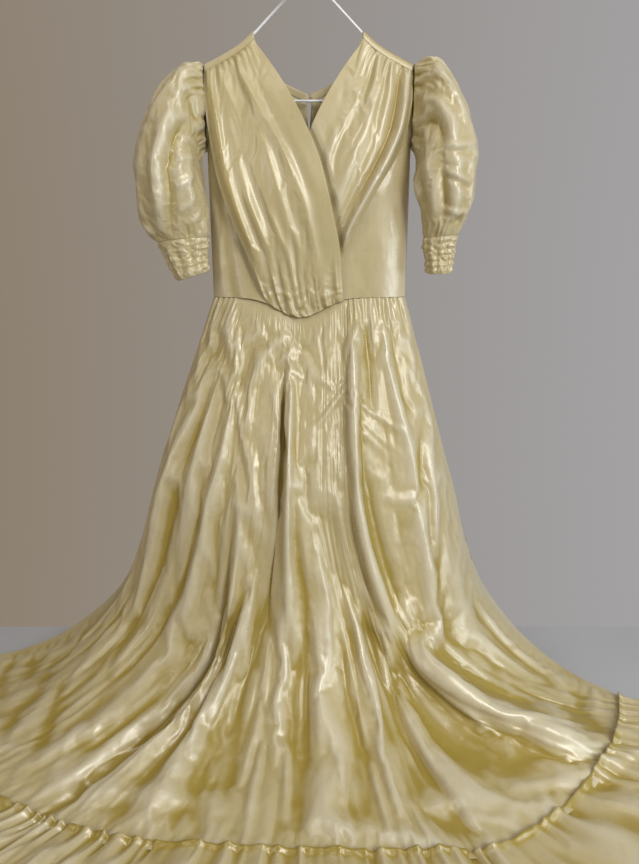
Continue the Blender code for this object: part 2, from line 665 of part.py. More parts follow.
def ring_grid(table, side, columns, rows, first_power=1.0):
    """Rings of a sleeve: the outer point at angle 0, the front at a quarter turn."""
    down = np.linspace(0, 1, rows)
    rings = smooth(np.linspace(0, 1, len(table)), np.array(table, float), down)
    outer = np.stack([rings[:, 0], rings[:, 5], rings[:, 1]], axis=1)
    inner = np.stack([rings[:, 2], rings[:, 5], rings[:, 3]], axis=1)
    middle, half = (outer + inner) / 2, (outer - inner) / 2
    angle = np.linspace(0, 2 * math.pi, columns + 1)
    power = (first_power + (1 - first_power) * ease(down / ARMHOLE_POWER_SHARE))[:, None]
    long_way = np.sign(np.cos(angle)) * np.abs(np.cos(angle)) ** power
    short_way = np.sign(np.sin(angle)) * np.abs(np.sin(angle)) ** power
    points = middle[:, None] + half[:, None] * long_way[:, :, None]
    points[:, :, 1] -= rings[:, 4:5] * short_way
    points[:, -1] = points[:, 0]
    points[:, :, 0] *= side
    if side > 0:
        points = points[:, ::-1]
    return points, down


def build_sleeve(side, name, table, material):
    points, down = ring_grid(table, side, SLEEVE_COLUMNS, SLEEVE_ROWS, ARMHOLE_POWER)
    around = np.linspace(0, 1, SLEEVE_COLUMNS + 1)[::-side]
    gathers = gather_relief(SLEEVE_GATHERS, around)[None, :]
    folds, _ = fold_relief(SLEEVE_FOLDS, around, down)
    cap = (1 - ease((down - 0.04) / SLEEVE_CAP_SHARE))[:, None]
    wrist = ease((down - SLEEVE_WRIST_FROM) / SLEEVE_WRIST_SHARE)[:, None]
    edge = ease(0.45 + down / 0.1)[:, None] * ease(0.45 + (1 - down) / 0.1)[:, None]
    relief = SLEEVE_GATHER_RISE * gathers * (cap + wrist) * edge + folds
    seam_x = points[0, :, 0].copy()
    points += grid_normals(points, closed=True) * relief[:, :, None]
    points[0, :, 0] = seam_x
    points[:, -1] = points[:, 0]
    cloth(name, points, material, closed=True)
    return points[-1]


def build_cuff(side, name, table, sleeve_edge, material):
    """A shirred cuff that carries on from the sleeve's lower edge."""
    points, down = ring_grid(table, side, SLEEVE_COLUMNS, CUFF_ROWS)
    around = np.linspace(0, 1, SLEEVE_COLUMNS + 1)
    relief = CUFF_RISE * gather_relief(CUFF_GATHERS, around)[None, :] * np.ones((CUFF_ROWS, 1))
    points += grid_normals(points, closed=True) * relief[:, :, None]
    points[0] = sleeve_edge + SEAM_GAP * unit(points[1] - sleeve_edge)
    points[:, -1] = points[:, 0]
    cloth(name, points, material, closed=True)


def lens_y(x, half_left, half_right, depth):
    """Forward reach of the skirt's front across one level."""
    half = np.where(x < 0, half_left, half_right)
    return -depth * np.sqrt(np.clip(1 - (x / half) ** 2, 0.0, 1.0))


def back_hem_y(x):
    return smooth(column(BACK_LINES, "hem_x"), column(BACK_LINES, "hem_y"), x)


def front_base(line, down, beyond):
    """The skirt's front without its folds; beyond is a length past the ruffle seam."""
    table = np.array(FRONT_LINES, float)
    at = smooth(np.arange(len(table)), table, line)
    waist_x, knee_x, shin_x, seam_x, seam_y = at.T
    waist = np.stack([waist_x, -LAYER / 2 - WAIST_DEPTH * np.sqrt(np.clip(
        1 - (waist_x / SIDE_X) ** 2, 0, 1)), waist_height(waist_x)], axis=1)
    knee_half = (-table[0, 1], table[-1, 1])
    shin_half = (-table[0, 2], table[-1, 2])
    knee = np.stack([knee_x, lens_y(knee_x, *knee_half, KNEE_DEPTH) - LAYER / 2,
                     np.full_like(knee_x, KNEE_HEIGHT)], axis=1)
    shin = np.stack([shin_x, lens_y(shin_x, *shin_half, SHIN_DEPTH) - LAYER / 2,
                     np.full_like(shin_x, SHIN_HEIGHT)], axis=1)
    seam = np.stack([seam_x, seam_y, np.full_like(seam_x, REST_HEIGHT)], axis=1)
    turn = shin + TURN_REACH * (seam - shin)
    turn[:, 2] = TURN_HEIGHT
    knots = np.stack([waist, knee, shin, turn, seam])
    points = smooth([0, KNEE_AT, SHIN_AT, TURN_AT, 1], knots, np.minimum(down, 1.0))
    outward = unit((seam - turn) * (1, 1, 0))
    return points + outward[None] * np.asarray(beyond)[:, None, None]


def front_points(line, down, beyond):
    """The skirt's front with its folds, resting on the floor and on the back's hem."""
    points = front_base(line, down, beyond)
    normal = grid_normals(points)
    sideways = unit(np.gradient(points, axis=1))
    last = len(FRONT_LINES) - 1
    rise, lean = fold_relief(FRONT_FOLDS, line, down)
    calm = ease(line / FRONT_CALM_EDGE) * ease((last - line) / FRONT_CALM_EDGE)
    rise = rise * calm[None, :]
    left = gather_relief(WAIST_GATHERS_LEFT, line / LEFT_GATHERS_END)
    left *= ease((LEFT_GATHERS_END + 0.05 - line) / 0.15)
    right = gather_relief(WAIST_GATHERS_RIGHT, (line - RIGHT_GATHERS_START) / RIGHT_GATHERS_SPAN)
    right *= ease((line - RIGHT_GATHERS_START + 0.10) / 0.20)
    fade = (1 - ease(down / GATHER_FADE))[:, None]
    rise = rise + GATHER_RISE * (left + right)[None, :] * calm[None, :] * fade
    points = points + normal * rise[:, :, None] + sideways * lean[:, :, None]
    ledge = LEDGE_HEIGHT * ease((points[:, :, 1] - back_hem_y(points[:, :, 0])) / LEDGE_SLOPE + 1)
    points[:, :, 2] = at_least(points[:, :, 2], REST_HEIGHT + ledge, FLOOR_BLEND)
    return points


def trim_seams(points):
    """Drops the spare outer columns and draws the new edges in from the seams."""
    kept = points[:, 1:-1].copy()
    kept[:, 0] += SEAM_DRAW * unit(kept[:, 1] - kept[:, 0])
    kept[:, -1] += SEAM_DRAW * unit(kept[:, -2] - kept[:, -1])
    return kept


def spaced_lines(first, final, columns):
    """Even columns from first to final, with one spare column past each end."""
    line = np.linspace(first, final, columns)
    return np.concatenate([[first - SPARE_COLUMN], line, [final + SPARE_COLUMN]])


def build_skirt_front(name, first, final, columns, material):
    line = spaced_lines(first, final, columns)
    points = front_points(line, np.array(FRONT_ROWS), np.zeros(len(FRONT_ROWS)))
    cloth(name, trim_seams(points), material)


def back_base(line, down, beyond):
    table = np.array(BACK_LINES, float)
    at = smooth(np.arange(len(table)), table, line)
    waist_x, knee_x, shin_x, foot_x, seam_x, seam_y, hem_x, hem_y = at.T
    level = np.ones_like(waist_x)
    waist_y = LAYER / 2 + BACK_WAIST_DEPTH * (1 - (waist_x / SIDE_X) ** 2)
    waist = np.stack([waist_x, waist_y, WAIST_HEIGHT * level], axis=1)
    knee = np.stack([knee_x, BACK_KNEE_Y * level, KNEE_HEIGHT * level], axis=1)
    shin = np.stack([shin_x, BACK_SHIN_Y * level, SHIN_HEIGHT * level], axis=1)
    foot = np.stack([foot_x, np.zeros_like(foot_x), BACK_FOOT_HEIGHT * level], axis=1)
    seam = np.stack([seam_x, seam_y, REST_HEIGHT * level], axis=1)
    hem = np.stack([hem_x, hem_y, REST_HEIGHT * level], axis=1)
    knots = np.stack([waist, knee, shin, foot, seam])
    points = smooth([0, KNEE_AT, SHIN_AT, BACK_FOOT_AT, 1], knots, np.minimum(down, 1.0))
    outward = unit(hem - seam)
    return points + outward[None] * np.asarray(beyond)[:, None, None]


def back_points(line, down, beyond):
    points = back_base(line, down, beyond)
    normal = -grid_normals(points)
    last = len(BACK_LINES) - 1
    rise, _ = fold_relief(BACK_FOLDS, line, down)
    calm = ease(line / BACK_CALM_EDGE) * ease((last - line) / BACK_CALM_EDGE)
    points = points + normal * (rise * calm[None, :])[:, :, None]
    for end, front_line in ((0, 0.0), (last, len(FRONT_LINES) - 1.0)):
        near = 1 - ease(np.abs(line - end) / BACK_MEETS_FRONT)
        side = front_points(np.array([front_line, front_line]) + (0.0, 1e-4), down, beyond)[:, :1]
        side = side + (0.0, 1.5 * LAYER, 0.0)
        side[:, :, 2] -= 1.5 * LAYER * ease((down - 0.70) / 0.1)[:, None]
        points = points + (side - points) * near[None, :, None]
    points[:, :, 2] = np.maximum(points[:, :, 2], REST_HEIGHT)
    return points


def build_skirt_back(name, first, final, columns, material):
    line = spaced_lines(first, final, columns)
    points = back_points(line, np.array(BACK_ROWS), np.zeros(len(BACK_ROWS)))
    cloth(name, trim_seams(points)[:, ::-1], material)


def build_ruffle(name, surface, table, row_table, waves, calm_edge, material, outward):
    """A gathered strip that carries on from the skirt's edge in standing waves."""
    last = len(table) - 1
    share = np.linspace(0, 1, waves * 4 + 1)
    line = RUFFLE_END_GAP + share * (last - 2 * RUFFLE_END_GAP)
    points = surface(line, column(row_table, "down"), column(row_table, "beyond"))
    wave = gather_relief(waves, share, 0.25)
    calm = ease(line / calm_edge) * ease((last - line) / calm_edge)
    swing = column(row_table, "swing")[:, None] * (wave * calm)[None, :]
    points[:, :, 2] += column(row_table, "stand")[:, None] + swing
    cloth(name, points[:, ::outward], material)


def main():
    clear_scene()
    gown = bpy.data.collections.new("wedding_gown")
    bpy.context.scene.collection.children.link(gown)
    satin = make_material("satin", SATIN, 0.36)
    satin_shade = make_material("satin_shade", SATIN_SHADE, 0.40)
    wire = make_material("coated_wire", COATED_WIRE, 0.35)
    metal = make_material("hook_metal", HOOK_METAL, 0.35, 1.0)
    build_hanger(wire)
    build_fronts(satin)
    for side, word in ((-1, "left"), (1, "right")):
        build_side_front(side, "side_front_" + word, satin)
        build_back(side, "bodice_back_" + word, satin_shade, "back_neck_band_" + word, satin)
        build_yoke(side, "shoulder_yoke_" + word, satin)
    build_neck_hook(metal)
    left_edge = build_sleeve(-1, "sleeve_left", LEFT_SLEEVE, satin)
    right_edge = build_sleeve(1, "sleeve_right", RIGHT_SLEEVE, satin)
    build_cuff(-1, "cuff_left", LEFT_CUFF, left_edge, satin)
    build_cuff(1, "cuff_right", RIGHT_CUFF, right_edge, satin)
    front_end, back_end = len(FRONT_LINES) - 1, len(BACK_LINES) - 1
    build_skirt_front("skirt_side_left", 0, SIDE_SEAM_LEFT, 11, satin)
    build_skirt_front("skirt_front_left", SIDE_SEAM_LEFT, FRONT_SEAM_LEFT, 10, satin)
    build_skirt_front("skirt_front_middle", FRONT_SEAM_LEFT, FRONT_SEAM_RIGHT, 24, satin)
    build_skirt_front("skirt_front_right", FRONT_SEAM_RIGHT, SIDE_SEAM_RIGHT, 14, satin)
    build_skirt_front("skirt_side_right", SIDE_SEAM_RIGHT, front_end, 13, satin)
    build_skirt_back("skirt_back_left", 0, BACK_SEAM, 12, satin_shade)
    build_skirt_back("skirt_back_right", BACK_SEAM, back_end, 12, satin_shade)
    build_ruffle("ruffle_front", front_points, FRONT_LINES, FRONT_RUFFLE, FRONT_RUFFLE_WAVES,
                 0.2, satin, 1)
    build_ruffle("ruffle_back", back_points, BACK_LINES, BACK_RUFFLE, BACK_RUFFLE_WAVES,
                 0.4, satin_shade, -1)


main()
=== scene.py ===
import math
from collections import namedtuple

import bpy
import numpy as np
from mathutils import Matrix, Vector


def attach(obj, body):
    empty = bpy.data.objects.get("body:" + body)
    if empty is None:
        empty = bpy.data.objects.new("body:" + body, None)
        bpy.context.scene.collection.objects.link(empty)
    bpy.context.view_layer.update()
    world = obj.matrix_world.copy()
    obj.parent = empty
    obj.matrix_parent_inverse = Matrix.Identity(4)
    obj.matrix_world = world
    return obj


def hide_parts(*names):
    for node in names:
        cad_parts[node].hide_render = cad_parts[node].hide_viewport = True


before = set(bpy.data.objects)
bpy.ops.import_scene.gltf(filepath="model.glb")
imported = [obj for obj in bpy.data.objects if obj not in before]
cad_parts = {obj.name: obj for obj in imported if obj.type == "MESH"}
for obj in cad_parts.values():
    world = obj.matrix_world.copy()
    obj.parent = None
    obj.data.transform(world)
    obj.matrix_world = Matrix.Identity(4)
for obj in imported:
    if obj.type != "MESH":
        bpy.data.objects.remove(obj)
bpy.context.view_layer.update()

# Camera: in front of the gown, tilted down to the skirt on the floor.
CAMERA_PLACE = (0.018, -1.2, -0.47)
CAMERA_TILT_DEG = 74
SENSOR_WIDTH = 36
FOCAL_SHARE = 650 / 864


def make_camera():
    data = bpy.data.cameras.new("camera")
    data.sensor_width = SENSOR_WIDTH
    data.lens = FOCAL_SHARE * SENSOR_WIDTH
    data.clip_start = 0.01
    camera = bpy.data.objects.new("camera", data)
    camera.location = CAMERA_PLACE
    camera.rotation_euler = (math.radians(CAMERA_TILT_DEG), 0, 0)
    bpy.context.scene.collection.objects.link(camera)
    bpy.context.scene.camera = camera


make_camera()

# The form below is the part's own: the same sizes, tables and surfaces.
# Heights in the tables are above the floor, which lies this far below the hook.
FLOOR_DROP = 1.27

WALL = 0.0012
SEAM_GAP = 0.0003
LAYER = WALL + SEAM_GAP

# Hanger: coated wire, bent into a hook, two shoulders and a straight bar.
WIRE_RADIUS = 0.002
WIRE_BELOW_SHOULDER = 0.0031
HOOK_INSIDE_RADIUS = 0.020
HOOK_RADIUS = HOOK_INSIDE_RADIUS + WIRE_RADIUS
HOOK_START_DEG = 205
HOOK_SWEEP_DEG = 295
APEX_HEIGHT = 1.214
SHANK_FOOT = 0.004
BAR_HEIGHT = 1.033
HANGER_END_X = 0.205
HANGER_END_RADIUS = 0.0145
HANGER_END_START_DEG = 50
HANGER_END_SWEEP_DEG = 140
NECK_WRAP_TURNS = 1.5
NECK_WRAP_RADIUS = 2 * WIRE_RADIUS + 0.0006
NECK_WRAP_DROP = 0.001

# Bodice: straight sides from the underarm to the waist.
SIDE_X = 0.173
UNDERARM_HEIGHT = 0.957
ARMHOLE_OPEN = 0.008
SIDE_FRONT_TOP = 1.020
WAIST_HEIGHT = 0.711
WAIST_POINT_X = -0.016
WAIST_POINT_DROP = 0.032
WAIST_POINT_WIDTH = 0.052
WAIST_DEPTH = 0.043
NECK_X = 0.090
SHOULDER_STATIONS = 7
SHOULDER_TIP_X = 0.1725
ARMHOLE_X = 0.1739
YOKE_DROP = 0.0125
YOKE_DEPTH = 0.0062
YOKE_START_X = NECK_X - 0.001

# Draped fronts: how far they stand off at their ends and at their middles.
OVER_STAND = (0.0046, 0.0150)
UNDER_STAND = (0.0028, 0.0085)
UNDER_MARGIN = 0.016
UNDER_COVERED_AWAY = 0.0034
DRAPE_TOP_SHARE = 0.14
DRAPE_FOOT_SHARE = 0.20
DRAPE_TUCK_SHARE = 0.07
NECK_BAND_SHARE = 0.20
NECK_EDGE_SHARE = 0.15
SHOULDER_GATHERS = 8
SHOULDER_GATHER_RISE = 0.0022
WAIST_FOLDS = 7
WAIST_FOLD_RISE = 0.0024

# Smooth panels between the drape and the side seams.
SIDE_FRONT_TUCKED = 0.034
SIDE_FRONT_LEAST = 0.012
SIDE_FRONT_CREASE = 0.0016
SIDE_FRONT_CREASE_TOP = 0.85

# Back, with a shallow V neckline that a hook closes over a slit.
BACK_DEPTH = 0.009
BACK_BEHIND_WIRE = 0.0042
BACK_COLUMNS = (0.0, 0.14, 0.28, 0.40, 0.47, 0.53, 0.68, 0.84, 1.0)
BACK_NECK_HEIGHT = 1.046
BACK_NECK_RISE = 0.028
BACK_NECK_REACH = 0.065
BACK_NECK_POWER = 1.1
BACK_SHOULDER_FROM = 0.062
BACK_SHOULDER_BLEND = 0.026
BACK_NECK_BAND = 0.013
BACK_BAND_COLUMNS = 5
BACK_SLIT_LENGTH = 0.075
BACK_SLIT_HALF = 0.0045
BACK_SLIT_SHARE = 0.28
BAND_SLIT_SHARE = 0.35
NECK_HOOK_WIRE = 0.0005
NECK_HOOK_REACH = 0.004
NECK_HOOK_AWAY = 0.0009

# Skirt and ruffle.
KNEE_HEIGHT = 0.42
SHIN_HEIGHT = 0.14
TURN_HEIGHT = 0.036
KNEE_DEPTH = 0.149
SHIN_DEPTH = 0.25
KNEE_AT = 0.335
SHIN_AT = 0.66
TURN_AT = 0.84
TURN_REACH = 0.47
REST_HEIGHT = 0.0016
LEDGE_HEIGHT = 0.016
LEDGE_SLOPE = 0.035
RUFFLE_LENGTH = 0.150
FRONT_RUFFLE_WAVES = 40
BACK_RUFFLE_WAVES = 12
RUFFLE_END_GAP = 0.0005

Shoulder = namedtuple("Shoulder", "x height")
SHOULDER = (
    Shoulder(0.060, 1.162),
    Shoulder(0.090, 1.136),
    Shoulder(0.116, 1.116),
    Shoulder(0.150, 1.098),
    Shoulder(0.176, 1.086),
)

# How far the front stands forward of the side seams.
Bulge = namedtuple("Bulge", "height depth")
FRONT_BULGE = (
    Bulge(0.670, 0.0430),
    Bulge(0.740, 0.0420),
    Bulge(0.880, 0.0460),
    Bulge(0.960, 0.0380),
    Bulge(1.040, 0.0200),
    Bulge(1.090, 0.0085),
    Bulge(1.130, 0.0060),
)

# Draped fronts, one row for each section from the shoulder down to the waist.
Drape = namedtuple("Drape", "neck_x neck_height outer_x outer_height")
OVER_FRONT = (
    Drape(-0.0900, 1.1235, -0.1730, 1.0785),
    Drape(-0.0500, 1.0700, -0.1725, 1.0450),
    Drape(-0.0130, 1.0080, -0.1670, 0.9850),
    Drape(0.0190, 0.9350, -0.1550, 0.9150),
    Drape(0.0390, 0.8570, -0.1340, 0.8500),
    Drape(0.0540, 0.7850, -0.1010, 0.7750),
    Drape(0.0620, 0.7100, -0.0660, 0.7100),
)
UNDER_FRONT = (
    Drape(0.0900, 1.1235, 0.1730, 1.0785),
    Drape(0.0500, 1.0700, 0.1725, 1.0400),
    Drape(0.0150, 1.0100, 0.1660, 0.9900),
    Drape(-0.0130, 0.9450, 0.1480, 0.9450),
    Drape(-0.0330, 0.8800, 0.1180, 0.8950),
    Drape(-0.0450, 0.8150, 0.0800, 0.8300),
    Drape(-0.0500, 0.7600, 0.0480, 0.7650),
    Drape(-0.0480, 0.7100, 0.0200, 0.7100),
)

# The small hook at the back neckline, from its eye round its bend.
HookBend = namedtuple("HookBend", "across lift")
NECK_HOOK_ROUTE = (
    HookBend(-1.0, -0.0010),
    HookBend(-0.3, -0.0016),
    HookBend(0.6, -0.0008),
    HookBend(1.0, 0.0008),
    HookBend(0.5, 0.0020),
    HookBend(-0.2, 0.0012),
)

# Section of the strip over the hanger, from the back to the front.
YokePoint = namedtuple("YokePoint", "y drop")
YOKE_SECTION = (
    YokePoint(0.0058, YOKE_DROP),
    YokePoint(0.0046, 0.0050),
    YokePoint(0.0030, 0.0012),
    YokePoint(0.0, 0.0),
    YokePoint(-0.0030, 0.0012),
    YokePoint(-0.0046, 0.0050),
    YokePoint(-YOKE_DEPTH, YOKE_DROP),
)

# Folds of a panel: across is 0 at its first edge and 1 at its last, down is 0 at the top.
Fold = namedtuple("Fold", "across rise width start end lean")

# Sleeves, one row for each ring from the armhole seam to the cuff seam.
Ring = namedtuple("Ring", "outer_x outer_height inner_x inner_height half_depth middle_y")
LEFT_SLEEVE = (
    Ring(ARMHOLE_X, 1.086, ARMHOLE_X, 0.961, 0.0120, -0.004),
    Ring(0.1980, 1.088, 0.1830, 0.942, 0.0340, -0.012),
    Ring(0.2340, 1.058, 0.1820, 0.925, 0.0500, -0.022),
    Ring(0.2680, 0.998, 0.1790, 0.908, 0.0570, -0.030),
    Ring(0.2900, 0.925, 0.1750, 0.888, 0.0570, -0.034),
    Ring(0.2910, 0.864, 0.1730, 0.866, 0.0510, -0.034),
    Ring(0.2810, 0.828, 0.1730, 0.842, 0.0390, -0.034),
    Ring(0.2600, 0.806, 0.1740, 0.815, 0.0260, -0.034),
)
RIGHT_SLEEVE = (
    Ring(ARMHOLE_X, 1.088, ARMHOLE_X, 0.961, 0.0120, -0.004),
    Ring(0.2040, 1.094, 0.1830, 0.940, 0.0340, -0.014),
    Ring(0.2360, 1.060, 0.1810, 0.922, 0.0500, -0.026),
    Ring(0.2640, 1.002, 0.1760, 0.904, 0.0570, -0.034),
    Ring(0.2790, 0.940, 0.1780, 0.886, 0.0560, -0.038),
    Ring(0.2780, 0.884, 0.1860, 0.866, 0.0500, -0.038),
    Ring(0.2680, 0.846, 0.1930, 0.842, 0.0400, -0.037),
    Ring(0.2540, 0.818, 0.1970, 0.814, 0.0260, -0.036),
)
LEFT_CUFF = (
    Ring(0.2590, 0.8050, 0.1745, 0.8140, 0.0250, -0.034),
    Ring(0.2500, 0.7850, 0.1755, 0.7960, 0.0225, -0.034),
    Ring(0.2400, 0.7640, 0.1765, 0.7780, 0.0215, -0.034),
    Ring(0.2280, 0.7410, 0.1770, 0.7560, 0.0230, -0.034),
)
RIGHT_CUFF = (
    Ring(0.2535, 0.8170, 0.1975, 0.8130, 0.0250, -0.036),
    Ring(0.2490, 0.7950, 0.1995, 0.7920, 0.0220, -0.037),
    Ring(0.2460, 0.7750, 0.2030, 0.7730, 0.0200, -0.038),
    Ring(0.2420, 0.7530, 0.2080, 0.7530, 0.0210, -0.039),
)
# Across is the share of a turn from the outer edge, by way of the front.
SLEEVE_FOLDS = (
    Fold(0.10, 0.006, 0.035, 0.10, 1.00, 0.0),
    Fold(0.22, 0.010, 0.030, 0.12, 1.00, 0.0),
    Fold(0.29, -0.010, 0.026, 0.10, 0.98, 0.0),
    Fold(0.37, 0.007, 0.030, 0.10, 0.95, 0.0),
    Fold(0.64, 0.007, 0.035, 0.12, 0.95, 0.0),
    Fold(0.77, 0.009, 0.035, 0.10, 0.98, 0.0),
    Fold(0.87, -0.008, 0.028, 0.12, 0.95, 0.0),
)
ARMHOLE_POWER = 0.6
ARMHOLE_POWER_SHARE = 0.30
CUFF_GATHERS = 10
CUFF_RISE = 0.0026

# Skirt, one row for each main fold line from the left side round the front to the right.
SkirtLine = namedtuple("SkirtLine", "waist_x knee_x shin_x seam_x seam_y")
FRONT_LINES = (
    SkirtLine(-0.173, -0.281, -0.382, -0.670, -0.100),
    SkirtLine(-0.135, -0.245, -0.335, -0.620, -0.280),
    SkirtLine(-0.108, -0.175, -0.262, -0.530, -0.385),
    SkirtLine(-0.080, -0.126, -0.165, -0.400, -0.455),
    SkirtLine(-0.050, -0.066, -0.125, -0.265, -0.495),
    SkirtLine(-0.026, -0.034, -0.036, -0.060, -0.512),
    SkirtLine(0.022, 0.020, 0.070, 0.110, -0.518),
    SkirtLine(0.052, 0.055, 0.118, 0.245, -0.515),
    SkirtLine(0.078, 0.082, 0.165, 0.460, -0.375),
    SkirtLine(0.125, 0.180, 0.235, 0.545, -0.260),
    SkirtLine(0.173, 0.259, 0.350, 0.565, -0.205),
)
FRONT_FOLDS = (
    Fold(0.50, 0.012, 0.24, 0.05, 0.92, 0.0),
    Fold(1.05, 0.018, 0.22, 0.02, 1.02, 0.0),
    Fold(1.65, 0.012, 0.20, 0.10, 1.00, 0.0),
    Fold(2.25, 0.015, 0.20, 0.12, 1.02, 0.0),
    Fold(3.00, -0.015, 0.17, 0.45, 1.05, 0.0),
    Fold(3.35, 0.018, 0.20, 0.25, 1.05, 0.0),
    Fold(4.00, 0.015, 0.20, 0.45, 1.05, 0.0),
    Fold(4.50, -0.014, 0.17, 0.06, 0.75, 0.0),
    Fold(5.00, 0.018, 0.20, 0.05, 0.85, 0.0),
    Fold(5.60, 0.013, 0.22, 0.40, 1.05, 0.0),
    Fold(6.30, 0.013, 0.20, 0.50, 1.05, 0.0),
    Fold(6.90, -0.012, 0.20, 0.45, 1.05, 0.0),
    Fold(7.90, 0.018, 0.22, 0.02, 0.75, 0.0),
    Fold(8.35, 0.036, 0.32, 0.62, 1.05, -0.030),
    Fold(8.95, 0.015, 0.22, 0.03, 0.95, 0.0),
    Fold(9.45, 0.011, 0.20, 0.10, 0.90, 0.0),
)
# The waist is gathered on both sides; positions and widths count in fold lines.
WAIST_GATHERS_LEFT = 5
LEFT_GATHERS_END = 1.30
WAIST_GATHERS_RIGHT = 8
RIGHT_GATHERS_START = 7.60
RIGHT_GATHERS_SPAN = 2.40
GATHER_RISE = 0.0028
GATHER_FADE = 0.13
FRONT_CALM_EDGE = 0.25
BACK_CALM_EDGE = 0.30
BACK_MEETS_FRONT = 0.45
BACK_BEHIND_FRONT = 1.5 * LAYER
SIDE_SEAM_LEFT = 1.35
FRONT_SEAM_LEFT = 2.7
FRONT_SEAM_RIGHT = 7.2
SIDE_SEAM_RIGHT = 8.65
BACK_SEAM = 2.5
SEAM_DRAW = 0.0004
SPARE_COLUMN = 0.02
FLOOR_BLEND = 0.003

# The back hangs flat, meets the floor and turns forward beneath the front.
BACK_WAIST_DEPTH = 0.010
BACK_KNEE_Y = 0.012
BACK_SHIN_Y = 0.014
BACK_FOOT_HEIGHT = 0.018
BACK_FOOT_AT = 0.78
BackLine = namedtuple("BackLine", "waist_x knee_x shin_x foot_x seam_x seam_y hem_x hem_y")
BACK_LINES = (
    BackLine(-0.173, -0.281, -0.382, -0.500, -0.670, -0.100, -0.800, -0.130),
    BackLine(-0.105, -0.165, -0.230, -0.290, -0.400, -0.215, -0.500, -0.320),
    BackLine(-0.040, -0.060, -0.080, -0.095, -0.135, -0.240, -0.170, -0.395),
    BackLine(0.030, 0.045, 0.060, 0.070, 0.090, -0.270, 0.110, -0.440),
    BackLine(0.105, 0.160, 0.215, 0.250, 0.330, -0.250, 0.370, -0.390),
    BackLine(0.173, 0.259, 0.350, 0.420, 0.565, -0.205, 0.640, -0.300),
)
BACK_FOLDS = (
    Fold(0.60, 0.010, 0.22, 0.05, 0.80, 0.0),
    Fold(1.40, 0.013, 0.24, 0.10, 0.80, 0.0),
    Fold(2.10, 0.010, 0.22, 0.03, 0.75, 0.0),
    Fold(2.95, 0.012, 0.22, 0.05, 0.80, 0.0),
    Fold(3.70, 0.013, 0.24, 0.08, 0.80, 0.0),
    Fold(4.40, 0.010, 0.22, 0.05, 0.80, 0.0),
)

# Rows of a ruffle: share of the skirt, length past its seam, height above it and of its waves.
RuffleRow = namedtuple("RuffleRow", "down beyond stand swing")
FRONT_RUFFLE = (
    RuffleRow(0.9891, 0.000, 0.0060, 0.0045),
    RuffleRow(0.9978, 0.000, 0.0033, 0.0012),
    RuffleRow(1.0000, 0.060, 0.0030, 0.0080),
    RuffleRow(1.0000, RUFFLE_LENGTH, 0.0015, 0.0130),
)
BACK_RUFFLE = (
    RuffleRow(1.0, RUFFLE_END_GAP, 0.0, 0.0005),
    RuffleRow(1.0, 0.070, 0.0, 0.0030),
    RuffleRow(1.0, RUFFLE_LENGTH, 0.0, 0.0045),
)

# Finish: the cloth is drawn as a thin shell on the solids' form.
SHELL = 0.0008
SKIRT_LENGTH = 0.92
TINY = 1e-9

# Grids of the drawn cloth: rows down and columns across.
OVER_GRID = (241, 171)
UNDER_GRID = (211, 151)
SIDE_FRONT_GRID = (120, 60)
BACK_GRID = (90, 70)
BACK_BAND_GRID = (8, 40)
YOKE_GRID = (22, 60)
SLEEVE_GRID = (151, 220)
CUFF_GRID = (70, 220)
SKIRT_GRID = (215, 463)
SKIRT_CREASE_GRID = (121, 401)
SKIRT_BACK_GRID = (130, 80)
BACK_CREASE_GRID = (61, 81)
FRONT_RUFFLE_ROWS = 60
BACK_RUFFLE_ROWS = 24
RUFFLE_COLUMNS_A_WAVE = 20

# Points along the wires.
HANGER_ARM_POINTS = 24
HANGER_END_POINTS = 16
HOOK_POINTS = 40
NECK_WRAP_POINTS = 36
NECK_HOOK_POINTS = 36

# How deep each point lies in a fold, which sets where the satin gets painted shade in its folds and a painted
# highlight on its crests.
VALLEY_STRIDES = (1, 2, 4)
VALLEY_PASSES = 5
VALLEY_DEPTH = 0.0056

# Settling: cloth cut a little too large, enlarged for the simulation and drawn in.
SETTLE_SCALE = 4.0
SETTLE_FRAMES = 20
SETTLE_DRAWN_IN = 8
SETTLE_CAP = 0.010
HOLD_LEVELS = 20
CLOTH_QUALITY = 5
CLOTH_MASS = 0.15
CLOTH_AIR = 2.0
CLOTH_STRETCH = 20
CLOTH_SHEAR = 8
SKIRT_BEND = 0.3
DRAPE_BEND = 0.6
SLEEVE_BEND = 0.3
# How far the hold of the edges reaches, as shares of a panel, and the least hold in its middle.
Hold = namedtuple("Hold", "top foot sides least")
SKIRT_HOLD = Hold(0.05, 0.05, 0.025, 0.10)
DRAPE_HOLD = Hold(0.03, 0.03, 0.10, 0.15)
SLEEVE_HOLD = Hold(0.05, 0.06, 0, 0.20)
SKIRT_CUT = (1.022, 1.004, 1.004)
DRAPE_CUT = (1.007, 1.001, 1.001)
SLEEVE_CUT = (1.016, 1.016, 1.004)
# The nearest that a settled front comes to what lies behind it.
DRAPE_INWARD = 0.0015

# Whole numbers that scatter the noise's values.
SCATTER_SEED = 2654435
SCATTER_AXES = (73856093, 19349663, 83492791)
SCATTER_STEP = 1103515245
SCATTER_START = 12345
SCATTER_LAST = 69069

# How much of the creases' stated height shows: along the skirt, the draped fronts and the sleeves.
CREASE_SHARE = 0.50
DRAPE_CREASE_SHARE = 0.36
SLEEVE_CREASE_SHARE = 0.36

# How much of the solids' sleeve folds stays under the sleeves' creases.
SLEEVE_SOFT_FOLDS = 0.35

